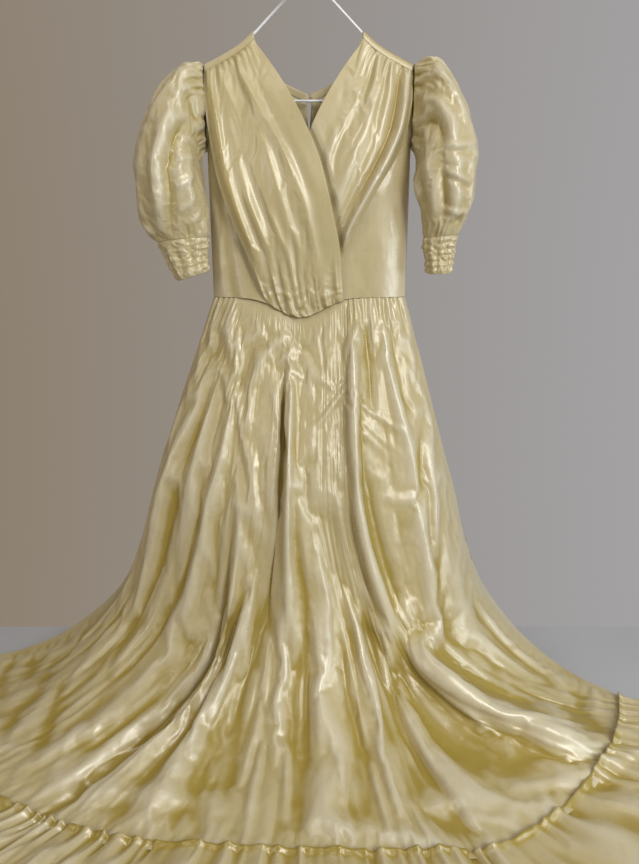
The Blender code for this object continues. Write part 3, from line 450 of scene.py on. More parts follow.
# Uneven streaks: height, how many swells run across and along a panel, and a seed.
Streak = namedtuple("Streak", "height across along seed")
DRAPE_STREAKS = Streak(0.0020, 6.0, 2.6, 0)
DRAPE_TOP_STREAKS = Streak(0.0026, 19.0, 4.5, 10)
DRAPE_FOOT_STREAKS = Streak(0.0034, 15.0, 7.0, 20)
SLEEVE_CAP_STREAKS = Streak(0.0040, 22, 5.0, 0)
SLEEVE_CAP_GATHERS = Streak(0.0030, 46, 9.0, 5)
SLEEVE_WRIST_STREAKS = Streak(0.0030, 30, 6.0, 10)
SLEEVE_LONG_STREAKS = Streak(0.0022, 9, 2.0, 15)
CUFF_SWAY = Streak(0.03, 9, 2.0, 91)
CUFF_PUFFS = Streak(0.0007, 26, 5.0, 93)
CUFF_PUFFS_GROWTH = 0.0022
CUFF_ROWS_RISE = 0.0008
SKIRT_STREAKS = Streak(0.0022, 1.5, 3.0, 51)
SKIRT_NARROW_STREAKS = Streak(0.0006, 4.2, 5.0, 61)
SKIRT_NARROW_GROWTH = 0.0014
SKIRT_CALM_LINE = 5.2
SKIRT_CALM_SHARE = 0.65
SKIRT_PATCH_SEED = 71
SKIRT_WAIST_GATHERS = Streak(0.0030, 7.0, 5.0, 91)
SKIRT_FINE_STREAKS = Streak(0.0009, 9.0, 9.0, 95)
SKIRT_LOW_STREAKS = Streak(0.0026, 6.5, 6.0, 97)
BACK_STREAKS = Streak(0.0030, 2.2, 3.0, 151)
BACK_NARROW_STREAKS = Streak(0.0014, 6.0, 6.0, 153)

# Ruffle: across counts swells for each wave, and along counts them for each metre.
RUFFLE_GATHERS = Streak(0.0075, 3.2, 1 / 0.090, 0)
RUFFLE_LOOSE_WAVES = Streak(0.0050, 0.9, 1 / 0.12, 5)
FRONT_RUFFLE_CALM = 0.2
BACK_RUFFLE_CALM = 0.4
RUFFLE_SEAM_AT = 0.006
RUFFLE_TIGHT_REACH = 0.045
# Slow drifts of the waves along a ruffle, as shares of its length.
Drift = namedtuple("Drift", "reach turns")
RUFFLE_DRIFTS = (Drift(0.0035, 7), Drift(0.0018, 19))

# Small creases that run every way: height, size and a seed.
Crumple = namedtuple("Crumple", "height size seed")
DRAPE_FOOT_CRUMPLE = Crumple(0.0028, 0.013, 30)
DRAPE_CRUMPLE = Crumple(0.0009, 0.024, 40)
SIDE_FRONT_CRUMPLE = Crumple(0.0010, 0.022, 17)
BACK_CRUMPLE = Crumple(0.0012, 0.040, 25)
BACK_FINE_CRUMPLE = Crumple(0.0006, 0.018, 27)
SLEEVE_CRUMPLE = Crumple(0.0018, 0.030, 20)
SLEEVE_FINE_CRUMPLE = Crumple(0.0007, 0.011, 30)
SKIRT_CRUMPLE = Crumple(0.0016, 0.034, 81)
SKIRT_SMALL_CRUMPLE = Crumple(0.0009, 0.024, 83)
SKIRT_FINE_CRUMPLE = Crumple(0.0005, 0.011, 87)
SKIRT_BACK_CRUMPLE = Crumple(0.0012, 0.034, 155)
# On the long panels the small creases are twice as tall as they are wide.
LENGTHENED = (1, 1, 0.5)

# Soft swells of the bodice's back, and how far it stands off evenly.
BACK_SWELL = 0.0016
BACK_SWELL_SHAPE = (1, 1, 0.4)
BACK_SWELL_SIZE = 0.030
BACK_SWELL_SEED = 21
BACK_FULLNESS = 0.0007

# The drawn seams of the skirt's front: how deep, and how wide in fold lines.
SEAM_GROOVE = 0.0007
SEAM_GROOVE_WIDTH = 0.030

# Where a relief comes in along a panel: the share where it starts and how long it takes.
Fade = namedtuple("Fade", "start length")
DRAPE_TOP_FADE = Fade(0.01, 0.16)
DRAPE_FOOT_FADE = Fade(0.80, 0.12)
DRAPE_BAND_FADE = Fade(NECK_BAND_SHARE, 0.06)
DRAPE_BAND_HOLD = Fade(NECK_BAND_SHARE, 0.12)
SLEEVE_CAP_FADE = Fade(0.02, 0.26)
SLEEVE_WRIST_FADE = Fade(0.78, 0.18)
SLEEVE_LONG_FADE = Fade(0.0, 0.15)
SLEEVE_CRUMPLE_FADE = Fade(0.0, 0.08)
CUFF_JOIN_FADE = Fade(0.0, 0.16)
SKIRT_MIDDLE_FADE = Fade(0.05, 0.35)
SKIRT_GATHER_FADE = Fade(0.01, 0.13)
SKIRT_FINE_FADE = Fade(0.02, 0.20)
SKIRT_LOW_FADE = Fade(0.42, 0.35)
BACK_STREAK_FADE = Fade(0.02, 0.20)
BACK_CRUMPLE_FADE = Fade(0.02, 0.10)

# Side fronts: the left one is creased, the right one smooth.
SIDE_FRONT_WRINKLES = {-1: 5.0, 1: 2.0}
SIDE_FRONT_RELIEF = {-1: 0.0046, 1: 0.0020}
SIDE_FRONT_WRINKLE_TOP = 1.1
SIDE_FRONT_WRINKLE_LENGTH = 0.20
SIDE_FRONT_FOLD_TOP = 1.00
SIDE_FRONT_SEED = 13

# Colours of the satin from its crests to its deep folds, lit side and shaded back: the crest colour is a
# painted highlight and the fold colour a painted golden shade.
SATIN_CREST_HIGHLIGHT = (0.61, 0.535, 0.35, 1.0)
SATIN_BODY = (0.52, 0.43, 0.215, 1.0)
SATIN_FOLD_SHADE = (0.36, 0.26, 0.040, 1.0)
SATIN_ROUGHNESS = 0.31
# The back's set: the same satin made darker all over as painted shade, for the pieces at the back and
# underneath.
PAINTED_SHADE_CREST = (0.55, 0.47, 0.29, 1.0)
PAINTED_SHADE_BODY = (0.46, 0.375, 0.175, 1.0)
PAINTED_SHADE_FOLD = (0.33, 0.23, 0.035, 1.0)
SHADE_ROUGHNESS = 0.46
WIRE_COLOUR = (0.90, 0.90, 0.92, 1.0)
WIRE_WORN = (0.82, 0.82, 0.84, 1.0)
METAL_COLOUR = (0.80, 0.66, 0.34, 1.0)
METAL_WORN = (0.55, 0.42, 0.20, 1.0)
FLOOR_COLOUR = (0.44, 0.44, 0.45, 1.0)
FLOOR_WORN = (0.41, 0.41, 0.42, 1.0)

# The satin's sockets, and the places of its painted crest highlight, body and painted fold shade on the
# fold-depth map.
SATIN_FINISH = {
    "Metallic": 0.04,
    "Anisotropic": 0.50,
    "Specular IOR Level": 0.80,
    "Sheen Weight": 0.12,
    "Sheen Roughness": 0.4,
}
SATIN_STOPS = (0.15, 0.50, 0.62, 0.88)
AGE_TONES = ((0.35, 0.93), (0.65, 1.0))
SPECK_TONES = ((0.30, 0.94), (0.45, 1.0))
SATIN_GLOSS = ((0.3, -0.05), (0.7, 0.07))
PLAIN_GLOSS = ((0.3, -0.06), (0.7, 0.10))

# Noise in the satin, and the strength and depth of each bump.
Grain = namedtuple("Grain", "scale detail stretch")
AGE_GRAIN = Grain(4.0, 3.0, (1, 1, 1))
SPECK_GRAIN = Grain(55.0, 4.0, (1, 1, 1))
GLOSS_GRAIN = Grain(18.0, 4.0, (1, 1, 1))
WRINKLE_GRAIN = Grain(38.0, 5.0, (1.0, 1.0, 0.35))
WEAVE_GRAIN = Grain(900.0, 1.0, (1.0, 1.0, 0.15))
WRINKLE_BUMP = (0.45, 0.0020)
WEAVE_BUMP = (0.12, 0.0003)
PLAIN_BUMP = (0.15, 0.0002)

# Stage: the floor reaches from just behind the gown to beyond the camera.
FLOOR_SIDES = (-1.7, 1.7)
FLOOR_ENDS = (0.05, -1.5)
FLOOR_GRID = (30, 40)
FLOOR_BELOW = 0.0004
FLOOR_SWELL = 0.0006
FLOOR_SWELL_SIZE = 0.4
FLOOR_SEED = 77

Light = namedtuple("Light", "name place target width height power colour")
LIGHTS = (
    Light("key", (1.3, -2.1, 0.7), (0.0, -0.15, -0.70), 0.5, 1.4, 38, (0.97, 0.98, 1.0)),
    Light("strip", (-1.5, -1.6, 0.1), (0.0, -0.1, -0.7), 0.25, 1.4, 7, (0.95, 0.97, 1.0)),
    Light("top", (0.1, -0.9, 1.3), (0.0, -0.25, -0.9), 0.9, 0.9, 6, (1.0, 1.0, 1.0)),
    Light("window", (1.7, -1.1, -0.5), (0.42, -0.35, -1.15), 0.5, 0.7, 9, (0.80, 0.90, 1.0)),
)

# The surround's tones from the left to the right.
WORLD_TONES = (
    (0.24, (0.262, 0.208, 0.147, 1.0)),
    (0.44, (0.300, 0.268, 0.236, 1.0)),
    (0.56, (0.325, 0.305, 0.295, 1.0)),
    (0.74, (0.375, 0.365, 0.372, 1.0)),
)

# The cut of what shows of each piece, in metres and square metres, before it was sewn and hung.
Cut = namedtuple("Cut", "width length area held rests_on")

# Creases: three places on a panel that a crease runs through, its height and its width.
Crease = namedtuple("Crease", "a0 d0 a1 d1 a2 d2 rise width")
CREASE_STEPS = 12
CREASE_TAPER = 0.30
CREASE_REACH = 4.5
CREASE_SHOULDER = 0.30

SKIRT_CREASES = (
    # Upper left, below the gathered waist.
    Crease(0.55, 0.00, 0.62, 0.16, 0.55, 0.36, 0.0060, 0.009),
    Crease(1.10, 0.00, 1.26, 0.14, 1.12, 0.34, 0.0085, 0.009),
    Crease(1.42, 0.01, 1.56, 0.16, 1.50, 0.38, 0.0075, 0.009),
    Crease(1.95, 0.04, 2.00, 0.20, 1.85, 0.42, 0.0060, 0.010),
    Crease(3.03, 0.05, 2.65, 0.12, 2.30, 0.19, -0.0045, 0.007),
    Crease(3.60, 0.06, 3.12, 0.17, 3.00, 0.32, 0.0070, 0.009),
    Crease(2.60, 0.14, 2.45, 0.28, 2.50, 0.46, 0.0060, 0.010),
    Crease(4.83, 0.03, 4.72, 0.15, 4.98, 0.32, 0.0080, 0.010),
    Crease(4.48, 0.04, 4.36, 0.15, 4.60, 0.32, -0.0040, 0.009),
    Crease(4.10, 0.12, 3.95, 0.26, 4.05, 0.44, 0.0060, 0.009),
    Crease(5.23, 0.28, 5.35, 0.43, 5.43, 0.60, 0.0075, 0.010),
    Crease(5.75, 0.34, 5.85, 0.46, 5.88, 0.58, -0.0055, 0.010),
    Crease(6.25, 0.36, 6.28, 0.47, 6.25, 0.60, -0.0095, 0.016),
    Crease(6.72, 0.34, 6.80, 0.48, 6.95, 0.62, 0.0065, 0.010),
    # The bright ridge down the right of the middle and the deep fold beside it.
    Crease(8.05, 0.02, 7.78, 0.18, 7.78, 0.40, 0.0120, 0.011),
    Crease(7.78, 0.33, 7.90, 0.50, 8.00, 0.72, 0.0100, 0.012),
    Crease(8.33, 0.03, 8.47, 0.12, 8.45, 0.26, -0.0110, 0.008),
    Crease(8.25, 0.28, 8.32, 0.46, 8.30, 0.62, -0.0110, 0.011),
    Crease(8.80, 0.03, 8.92, 0.22, 8.95, 0.42, 0.0085, 0.009),
    Crease(8.93, 0.38, 8.98, 0.50, 9.03, 0.62, 0.0075, 0.010),
    Crease(9.22, 0.02, 9.12, 0.15, 9.08, 0.30, -0.0075, 0.008),
    Crease(9.42, 0.26, 9.32, 0.40, 9.22, 0.54, 0.0085, 0.011),
    Crease(9.62, 0.03, 9.70, 0.18, 9.66, 0.34, 0.0055, 0.009),
    # Pinched creases that cross below the waist.
    Crease(7.60, 0.165, 6.60, 0.200, 5.70, 0.245, 0.0016, 0.0035),
    Crease(7.50, 0.150, 6.70, 0.175, 6.00, 0.215, -0.0014, 0.0032),
    Crease(7.60, 0.165, 8.30, 0.205, 9.00, 0.275, 0.0020, 0.0038),
    Crease(7.62, 0.190, 8.20, 0.240, 8.80, 0.310, -0.0016, 0.0036),
    Crease(5.90, 0.135, 6.90, 0.180, 8.10, 0.225, 0.0013, 0.0034),
    Crease(5.40, 0.070, 5.60, 0.130, 5.50, 0.210, 0.0016, 0.0060),
    # The hem's own ledge above the ruffle.
    Crease(2.60, 0.952, 4.10, 0.918, 5.30, 0.940, 0.0070, 0.013),
    Crease(5.00, 0.932, 6.10, 0.962, 7.20, 0.985, 0.0070, 0.013),
    # Lower front, where the skirt spreads over the floor.
    Crease(3.40, 0.55, 3.44, 0.69, 3.40, 0.80, -0.0090, 0.014),
    Crease(3.40, 0.76, 3.00, 0.87, 3.12, 0.99, -0.0110, 0.012),
    Crease(3.98, 0.54, 3.96, 0.70, 3.84, 0.94, 0.0090, 0.013),
    Crease(3.66, 0.62, 3.60, 0.76, 3.45, 0.92, 0.0060, 0.008),
    Crease(4.36, 0.56, 4.38, 0.68, 4.38, 0.82, -0.0080, 0.008),
    Crease(4.66, 0.60, 4.68, 0.74, 4.66, 0.93, 0.0075, 0.009),
    Crease(5.00, 0.55, 5.04, 0.69, 5.12, 0.84, -0.0065, 0.008),
    Crease(5.48, 0.54, 5.45, 0.68, 5.44, 0.86, 0.0100, 0.018),
    Crease(5.88, 0.56, 5.96, 0.70, 6.12, 0.86, 0.0085, 0.008),
    Crease(6.40, 0.66, 6.38, 0.75, 6.32, 0.86, 0.0060, 0.007),
    Crease(6.73, 0.58, 7.08, 0.68, 7.16, 0.78, -0.0100, 0.012),
    Crease(7.10, 0.50, 7.42, 0.62, 7.50, 0.72, 0.0060, 0.009),
    Crease(6.80, 0.80, 6.86, 0.88, 6.95, 0.98, 0.0065, 0.008),
    Crease(4.80, 0.80, 4.82, 0.87, 4.84, 0.95, 0.0045, 0.005),
    Crease(5.10, 0.82, 5.12, 0.88, 5.14, 0.96, 0.0050, 0.005),
    Crease(5.66, 0.82, 5.68, 0.89, 5.72, 0.97, 0.0050, 0.005),
    Crease(6.08, 0.84, 6.08, 0.90, 6.12, 0.98, 0.0045, 0.005),
    Crease(6.48, 0.84, 6.48, 0.91, 6.54, 0.99, 0.0050, 0.005),
    # The overlapping fold at the lower right, over its hollow.
    Crease(8.45, 0.54, 8.35, 0.70, 8.12, 0.83, 0.0170, 0.026),
    Crease(8.16, 0.76, 8.26, 0.86, 8.40, 0.99, 0.0170, 0.028),
    Crease(7.65, 0.62, 7.42, 0.78, 7.66, 0.95, -0.0200, 0.028),
    Crease(8.47, 0.70, 8.33, 0.79, 8.24, 0.88, 0.0055, 0.006),
    Crease(8.22, 0.84, 8.46, 0.90, 8.80, 0.98, 0.0065, 0.007),
    Crease(8.90, 0.66, 8.80, 0.78, 8.85, 0.90, -0.0070, 0.009),
    Crease(9.44, 0.68, 9.55, 0.78, 9.56, 0.90, 0.0080, 0.009),
    Crease(9.15, 0.70, 9.20, 0.80, 9.22, 0.94, 0.0060, 0.008),
    Crease(9.75, 0.62, 9.80, 0.76, 9.80, 0.92, 0.0055, 0.008),
    # Radiating folds of the left flare.
    Crease(2.62, 0.70, 2.40, 0.83, 2.26, 0.96, 0.0085, 0.010),
    Crease(2.88, 0.62, 2.76, 0.76, 2.66, 0.92, 0.0070, 0.009),
    Crease(2.15, 0.56, 2.05, 0.72, 1.96, 0.94, 0.0080, 0.010),
    Crease(1.82, 0.58, 1.72, 0.74, 1.66, 0.96, -0.0070, 0.009),
    Crease(1.48, 0.52, 1.40, 0.70, 1.34, 0.94, 0.0080, 0.010),
    Crease(1.08, 0.56, 1.02, 0.74, 0.98, 0.96, -0.0060, 0.009),
    Crease(0.80, 0.48, 0.72, 0.66, 0.66, 0.92, 0.0075, 0.010),
    Crease(0.42, 0.52, 0.38, 0.70, 0.34, 0.94, 0.0050, 0.009),
    # Middle of the left side.
    Crease(1.30, 0.36, 1.35, 0.46, 1.30, 0.60, -0.0060, 0.009),
    Crease(1.72, 0.34, 1.84, 0.46, 1.80, 0.60, 0.0070, 0.010),
    Crease(0.95, 0.34, 0.92, 0.46, 0.86, 0.58, 0.0065, 0.010),
    Crease(2.92, 0.36, 2.84, 0.48, 2.90, 0.62, 0.0060, 0.009),
    Crease(3.30, 0.30, 3.34, 0.42, 3.40, 0.58, -0.0060, 0.010),
    Crease(3.62, 0.34, 3.70, 0.48, 3.76, 0.60, 0.0075, 0.010),
    Crease(4.55, 0.38, 4.60, 0.50, 4.66, 0.62, 0.0060, 0.009),
)

# The drape's broad folds, softer than in the solids because its creases follow here.
OVER_SOFT_FOLDS = (
    Fold(0.45, 0.0030, 0.060, -0.10, 0.90, 0.0),
    Fold(0.75, 0.0040, 0.060, 0.00, 0.95, 0.0),
    Fold(0.91, 0.0100, 0.060, -0.10, 1.00, 0.0),
)
UNDER_SOFT_FOLDS = (
    Fold(0.57, 0.0030, 0.070, -0.10, 0.80, 0.0),
    Fold(0.91, 0.0120, 0.070, -0.10, 1.00, 0.0),
)
OVER_CREASES = (
    Crease(0.86, 0.02, 0.86, 0.40, 0.82, 0.84, 0.0050, 0.0110),
    Crease(0.77, 0.02, 0.69, 0.20, 0.64, 0.42, 0.0062, 0.0058),
    Crease(0.58, 0.05, 0.47, 0.32, 0.33, 0.60, -0.0058, 0.0085),
    Crease(0.50, 0.04, 0.36, 0.36, 0.24, 0.64, 0.0050, 0.0070),
    Crease(0.33, 0.10, 0.26, 0.42, 0.13, 0.66, -0.0046, 0.0080),
    Crease(0.42, 0.42, 0.40, 0.60, 0.34, 0.84, -0.0056, 0.0105),
    Crease(0.80, 0.55, 0.77, 0.70, 0.78, 0.88, 0.0058, 0.0065),
    Crease(0.70, 0.40, 0.68, 0.58, 0.62, 0.78, -0.0052, 0.0090),
    Crease(0.62, 0.62, 0.58, 0.76, 0.56, 0.93, 0.0050, 0.0055),
    Crease(0.24, 0.58, 0.25, 0.72, 0.30, 0.90, 0.0042, 0.0065),
    Crease(0.92, 0.05, 0.92, 0.34, 0.90, 0.60, -0.0030, 0.0050),
    Crease(0.02, 0.115, 0.12, 0.125, 0.24, 0.17, 0.0016, 0.0032),
    Crease(0.03, 0.165, 0.13, 0.165, 0.22, 0.20, 0.0013, 0.0030),
    Crease(0.46, 0.72, 0.50, 0.84, 0.54, 0.97, -0.0040, 0.0045),
    Crease(0.70, 0.78, 0.72, 0.88, 0.74, 0.98, -0.0040, 0.0042),
    Crease(0.86, 0.74, 0.86, 0.86, 0.86, 0.98, 0.0034, 0.0045),
)
UNDER_CREASES = (
    Crease(0.36, 0.01, 0.46, 0.12, 0.44, 0.30, 0.0060, 0.0050),
    Crease(0.29, 0.02, 0.38, 0.12, 0.37, 0.26, -0.0040, 0.0055),
    Crease(0.43, 0.24, 0.36, 0.36, 0.38, 0.52, -0.0036, 0.0070),
    Crease(0.54, 0.02, 0.60, 0.14, 0.62, 0.34, -0.0046, 0.0060),
    Crease(0.64, 0.02, 0.69, 0.16, 0.70, 0.42, 0.0054, 0.0070),
    Crease(0.74, 0.02, 0.82, 0.30, 0.80, 0.74, -0.0130, 0.0062),
    Crease(0.88, 0.04, 0.92, 0.34, 0.91, 0.80, 0.0060, 0.0085),
    Crease(0.02, 0.115, 0.12, 0.115, 0.24, 0.15, 0.0016, 0.0035),
    Crease(0.08, 0.150, 0.16, 0.20, 0.22, 0.27, -0.0018, 0.0050),
    Crease(0.20, 0.30, 0.28, 0.40, 0.30, 0.52, 0.0022, 0.0060),
    Crease(0.56, 0.40, 0.60, 0.54, 0.62, 0.70, 0.0030, 0.0080),
)
# Round a sleeve, across is the share of a turn from the outer edge by way of the front.
LEFT_SLEEVE_CREASES = (
    Crease(0.33, 0.03, 0.21, 0.14, 0.19, 0.36, 0.0095, 0.0075),
    Crease(0.19, 0.28, 0.215, 0.55, 0.215, 0.86, 0.0110, 0.0085),
    Crease(0.30, 0.14, 0.27, 0.40, 0.27, 0.62, -0.0130, 0.0085),
    Crease(0.27, 0.50, 0.265, 0.74, 0.22, 0.97, -0.0120, 0.0085),
    Crease(0.29, 0.34, 0.33, 0.24, 0.42, 0.10, 0.0046, 0.0052),
    Crease(0.30, 0.47, 0.34, 0.40, 0.42, 0.26, 0.0046, 0.0052),
    Crease(0.30, 0.62, 0.35, 0.56, 0.43, 0.42, 0.0046, 0.0052),
    Crease(0.29, 0.78, 0.34, 0.73, 0.42, 0.60, 0.0042, 0.0050),
    Crease(0.31, 0.88, 0.37, 0.84, 0.44, 0.76, 0.0036, 0.0050),
    Crease(0.10, 0.08, 0.08, 0.26, 0.09, 0.46, -0.0060, 0.0080),
    Crease(0.04, 0.20, 0.03, 0.44, 0.05, 0.68, 0.0050, 0.0090),
    Crease(0.14, 0.56, 0.13, 0.70, 0.15, 0.84, -0.0050, 0.0080),
    Crease(0.02, 0.76, 0.08, 0.84, 0.15, 0.95, 0.0066, 0.0060),
    Crease(0.00, 0.86, 0.06, 0.92, 0.12, 0.99, -0.0050, 0.0050),
    Crease(0.56, 0.14, 0.57, 0.50, 0.58, 0.90, 0.0060, 0.0090),
    Crease(0.66, 0.10, 0.68, 0.52, 0.66, 0.92, -0.0070, 0.0080),
    Crease(0.75, 0.10, 0.77, 0.50, 0.75, 0.94, 0.0075, 0.0090),
    Crease(0.83, 0.12, 0.85, 0.46, 0.83, 0.90, -0.0060, 0.0080),
    Crease(0.92, 0.14, 0.93, 0.54, 0.92, 0.92, 0.0060, 0.0085),
)
RIGHT_SLEEVE_CREASES = (
    Crease(0.20, 0.03, 0.18, 0.16, 0.14, 0.28, -0.0060, 0.0055),
    Crease(0.26, 0.03, 0.23, 0.20, 0.18, 0.46, 0.0070, 0.0065),
    Crease(0.31, 0.10, 0.27, 0.26, 0.27, 0.46, -0.0120, 0.0080),
    Crease(0.28, 0.41, 0.19, 0.48, 0.08, 0.52, 0.0055, 0.0048),
    Crease(0.26, 0.46, 0.18, 0.525, 0.09, 0.565, -0.0044, 0.0048),
    Crease(0.30, 0.51, 0.22, 0.61, 0.11, 0.66, 0.0055, 0.0048),
    Crease(0.28, 0.57, 0.20, 0.655, 0.12, 0.70, -0.0040, 0.0048),
    Crease(0.33, 0.78, 0.23, 0.81, 0.09, 0.84, 0.0060, 0.0052),
    Crease(0.27, 0.94, 0.19, 0.89, 0.12, 0.87, -0.0080, 0.0070),
    Crease(0.29, 0.14, 0.35, 0.32, 0.34, 0.60, 0.0060, 0.0070),
    Crease(0.33, 0.52, 0.35, 0.70, 0.35, 0.92, 0.0060, 0.0065),
    Crease(0.29, 0.50, 0.29, 0.68, 0.28, 0.88, -0.0080, 0.0065),
    Crease(0.41, 0.30, 0.42, 0.52, 0.39, 0.82, -0.0060, 0.0070),
    Crease(0.09, 0.06, 0.13, 0.24, 0.12, 0.46, 0.0070, 0.0075),
    Crease(0.04, 0.10, 0.07, 0.26, 0.06, 0.44, -0.0050, 0.0070),
    Crease(0.47, 0.40, 0.46, 0.55, 0.44, 0.70, 0.0080, 0.0090),
    Crease(0.58, 0.14, 0.60, 0.50, 0.60, 0.90, -0.0060, 0.0085),
    Crease(0.68, 0.10, 0.70, 0.50, 0.67, 0.92, 0.0070, 0.0090),
    Crease(0.78, 0.12, 0.79, 0.48, 0.77, 0.92, -0.0065, 0.0080),
    Crease(0.88, 0.12, 0.90, 0.52, 0.88, 0.90, 0.0065, 0.0090),
)
BACK_CREASES = (
    Crease(0.70, 0.02, 0.82, 0.22, 0.90, 0.58, 0.0060, 0.010),
    Crease(1.20, 0.02, 1.28, 0.26, 1.20, 0.62, -0.0060, 0.010),
    Crease(1.62, 0.02, 1.66, 0.20, 1.80, 0.52, 0.0065, 0.009),
    Crease(2.05, 0.06, 2.16, 0.30, 2.10, 0.64, -0.0055, 0.010),
    Crease(2.52, 0.02, 2.44, 0.26, 2.56, 0.60, 0.0060, 0.010),
    Crease(2.90, 0.02, 3.02, 0.24, 2.94, 0.54, -0.0060, 0.009),
    Crease(3.36, 0.02, 3.30, 0.28, 3.44, 0.62, 0.0065, 0.010),
    Crease(3.84, 0.04, 3.92, 0.24, 3.84, 0.56, -0.0060, 0.010),
    Crease(4.28, 0.02, 4.22, 0.22, 4.30, 0.58, 0.0055, 0.010),
)


def column(table, name):
    return np.array([getattr(row, name) for row in table], float)


def smooth(stations, values, at):
    """Curve through the values that never overshoots them; values may have more axes."""
    x = np.asarray(stations, float)
    y = np.asarray(values, float)
    at = np.asarray(at, float)
    step = np.diff(x).reshape((-1,) + (1,) * (y.ndim - 1))
    slope = np.diff(y, axis=0) / step
    tangent = np.zeros_like(y)
    tangent[0], tangent[-1] = slope[0], slope[-1]
    before, after = slope[:-1], slope[1:]
    turning = before * after <= 0
    total = np.where(turning, 1.0, before + after)
    tangent[1:-1] = np.where(turning, 0.0, 2 * before * after / total)
    i = np.clip(np.searchsorted(x, at) - 1, 0, len(x) - 2)
    shape = at.shape + (1,) * (y.ndim - 1)
    f = ((at - x[i]) / (x[i + 1] - x[i])).reshape(shape)
    span = step.reshape(-1)[i].reshape(shape)
    start = (1 + 2 * f) * (1 - f) ** 2 * y[i] + f * (1 - f) ** 2 * span * tangent[i]
    finish = f ** 2 * (3 - 2 * f) * y[i + 1] + f ** 2 * (f - 1) * span * tangent[i + 1]
    return start + finish


def ease(value):
    value = np.clip(value, 0.0, 1.0)
    return value * value * (3 - 2 * value)


def hump(value):
    return np.exp(-value * value)


def at_least(value, low, blend):
    """The larger of the two, with a rounded change from one to the other."""
    return 0.5 * (value + low + np.sqrt((value - low) ** 2 + blend * blend))


def shoulder_height(x):
    return smooth(column(SHOULDER, "x"), column(SHOULDER, "height"), np.abs(x))


def waist_height(x):
    dip = hump((x - WAIST_POINT_X) / WAIST_POINT_WIDTH)
    return WAIST_HEIGHT - WAIST_POINT_DROP * dip


def front_y(x, height):
    """The front of the bodice: flat at the side seams, open at the armholes, fullest at the middle."""
    bulge = smooth(column(FRONT_BULGE, "height"), column(FRONT_BULGE, "depth"), height)
    widest = SIDE_X - ARMHOLE_OPEN * ease((height - UNDERARM_HEIGHT) / 0.03)
    across = np.sqrt(np.clip(1 - (np.minimum(np.abs(x), widest) / SIDE_X) ** 2, 0.0, 1.0))
    return -LAYER / 2 - bulge * across


def back_y(x, height):
    """The back of the bodice: behind the hanger at the shoulders, nearly flat below."""
    behind_wire = BACK_BEHIND_WIRE * ease((height - UNDERARM_HEIGHT + 0.02) / 0.05)
    across = np.clip(1 - (x / SIDE_X) ** 2, 0.0, 1.0)
    return LAYER / 2 + behind_wire + BACK_DEPTH * across


def fold_relief(folds, across, down):
    """Height of a panel's folds, and how far they lean sideways."""
    rise = np.zeros((len(down), len(across)))
    lean = np.zeros_like(rise)
    for fold in folds:
        profile = hump((across - fold.across) / fold.width)[None, :]
        fade = (fold.end - fold.start) / 3
        come = ease((down - fold.start) / fade) * ease((fold.end - down) / fade)
        rise += fold.rise * profile * come[:, None]
        lean += fold.lean * profile * come[:, None]
    return rise, lean


def gather_relief(waves, across, phase=0.0):
    return 0.5 - 0.5 * np.cos(2 * math.pi * (waves * across + phase))


def grid_normals(points, closed=False):
    """Outward unit normals of a grid whose rows run down and columns to the right."""
    down = np.gradient(points, axis=0)
    if closed:
        ring = np.concatenate([points[:, -2:-1], points, points[:, 1:2]], axis=1)
        across = np.gradient(ring, axis=1)[:, 1:-1]
    else:
        across = np.gradient(points, axis=1)
    normal = np.cross(down, across)
    return normal / np.maximum(np.linalg.norm(normal, axis=2, keepdims=True), TINY)


def unit(vectors):
    return vectors / np.maximum(np.linalg.norm(vectors, axis=-1, keepdims=True), TINY)


def soft_noise(points, size, seed):
    """Smooth noise from -1 to 1 in space; size is the width of its swells."""
    spot = points / size
    cell = np.floor(spot).astype(np.int64)
    part = ease(spot - cell)
    total = np.zeros(points.shape[:-1])
    for corner in range(8):
        offset = np.array([corner & 1, corner >> 1 & 1, corner >> 2 & 1])
        c = cell + offset
        key = seed * SCATTER_SEED
        for axis, factor in enumerate(SCATTER_AXES):
            key = (c[..., axis] * factor) ^ key
        key = (key * SCATTER_STEP + SCATTER_START) & 0x7FFFFFFF
        key = (key >> 7) * SCATTER_LAST & 0xFFFF
        weight = np.prod(np.where(offset == 1, part, 1 - part), axis=-1)
        total += weight * (2 * key / 0xFFFF - 1)
    return total


def plane_noise(u, v, seed):
    """Smooth noise over two coordinates, with swells one unit wide."""
    return soft_noise(np.stack(np.broadcast_arrays(u, v, 0.5), axis=-1), 1.0, seed)


def streaks(u, v, seed):
    """Long uneven folds: u counts them across a panel and v counts their lengths down it."""
    bent = u + 0.6 * plane_noise(0.4 * u, 0.8 * v, seed + 1)
    broad = plane_noise(bent, v, seed + 2)
    crests = 0.35 - np.abs(plane_noise(1.2 * bent + 7.3, 1.3 * v, seed + 3))
    return broad + 1.3 * crests


def ring_streaks(around, v, folds, seed):
    """Uneven folds that run down a tube and join up all round it."""
    radius = folds / (2 * math.pi)
    turn = 2 * math.pi * around + 0.0 * v
    near = 0.4 * radius
    slow = np.stack([near * np.cos(turn), near * np.sin(turn), 0.8 * v + 0.0 * turn], axis=-1)
    turn = turn + 0.6 / radius * soft_noise(slow, 1.0, seed + 1)
    place = np.stack([radius * np.cos(turn), radius * np.sin(turn), v + 0.0 * turn], axis=-1)
    crests = 0.35 - np.abs(soft_noise(1.2 * place + 7.3, 1.0, seed + 3))
    return soft_noise(place, 1.0, seed + 2) + 1.3 * crests


def crumple(points, size, seed):
    """Small sharp creases that run every way."""
    sway = np.stack([soft_noise(points, size, seed + k) for k in (1, 2, 3)], axis=-1)
    return 0.3 - np.abs(soft_noise(points + 0.4 * size * sway, size, seed))


def edge_fade(values, share):
    return ease(values / share) * ease((1 - values) / share)


def calm_sides(line, last, edge):
    """0 at the two sides of a skirt panel and 1 between them; all count in fold lines."""
    return ease(line / edge) * ease((last - line) / edge)


def come_in(value, fade):
    return ease((value - fade.start) / fade.length)


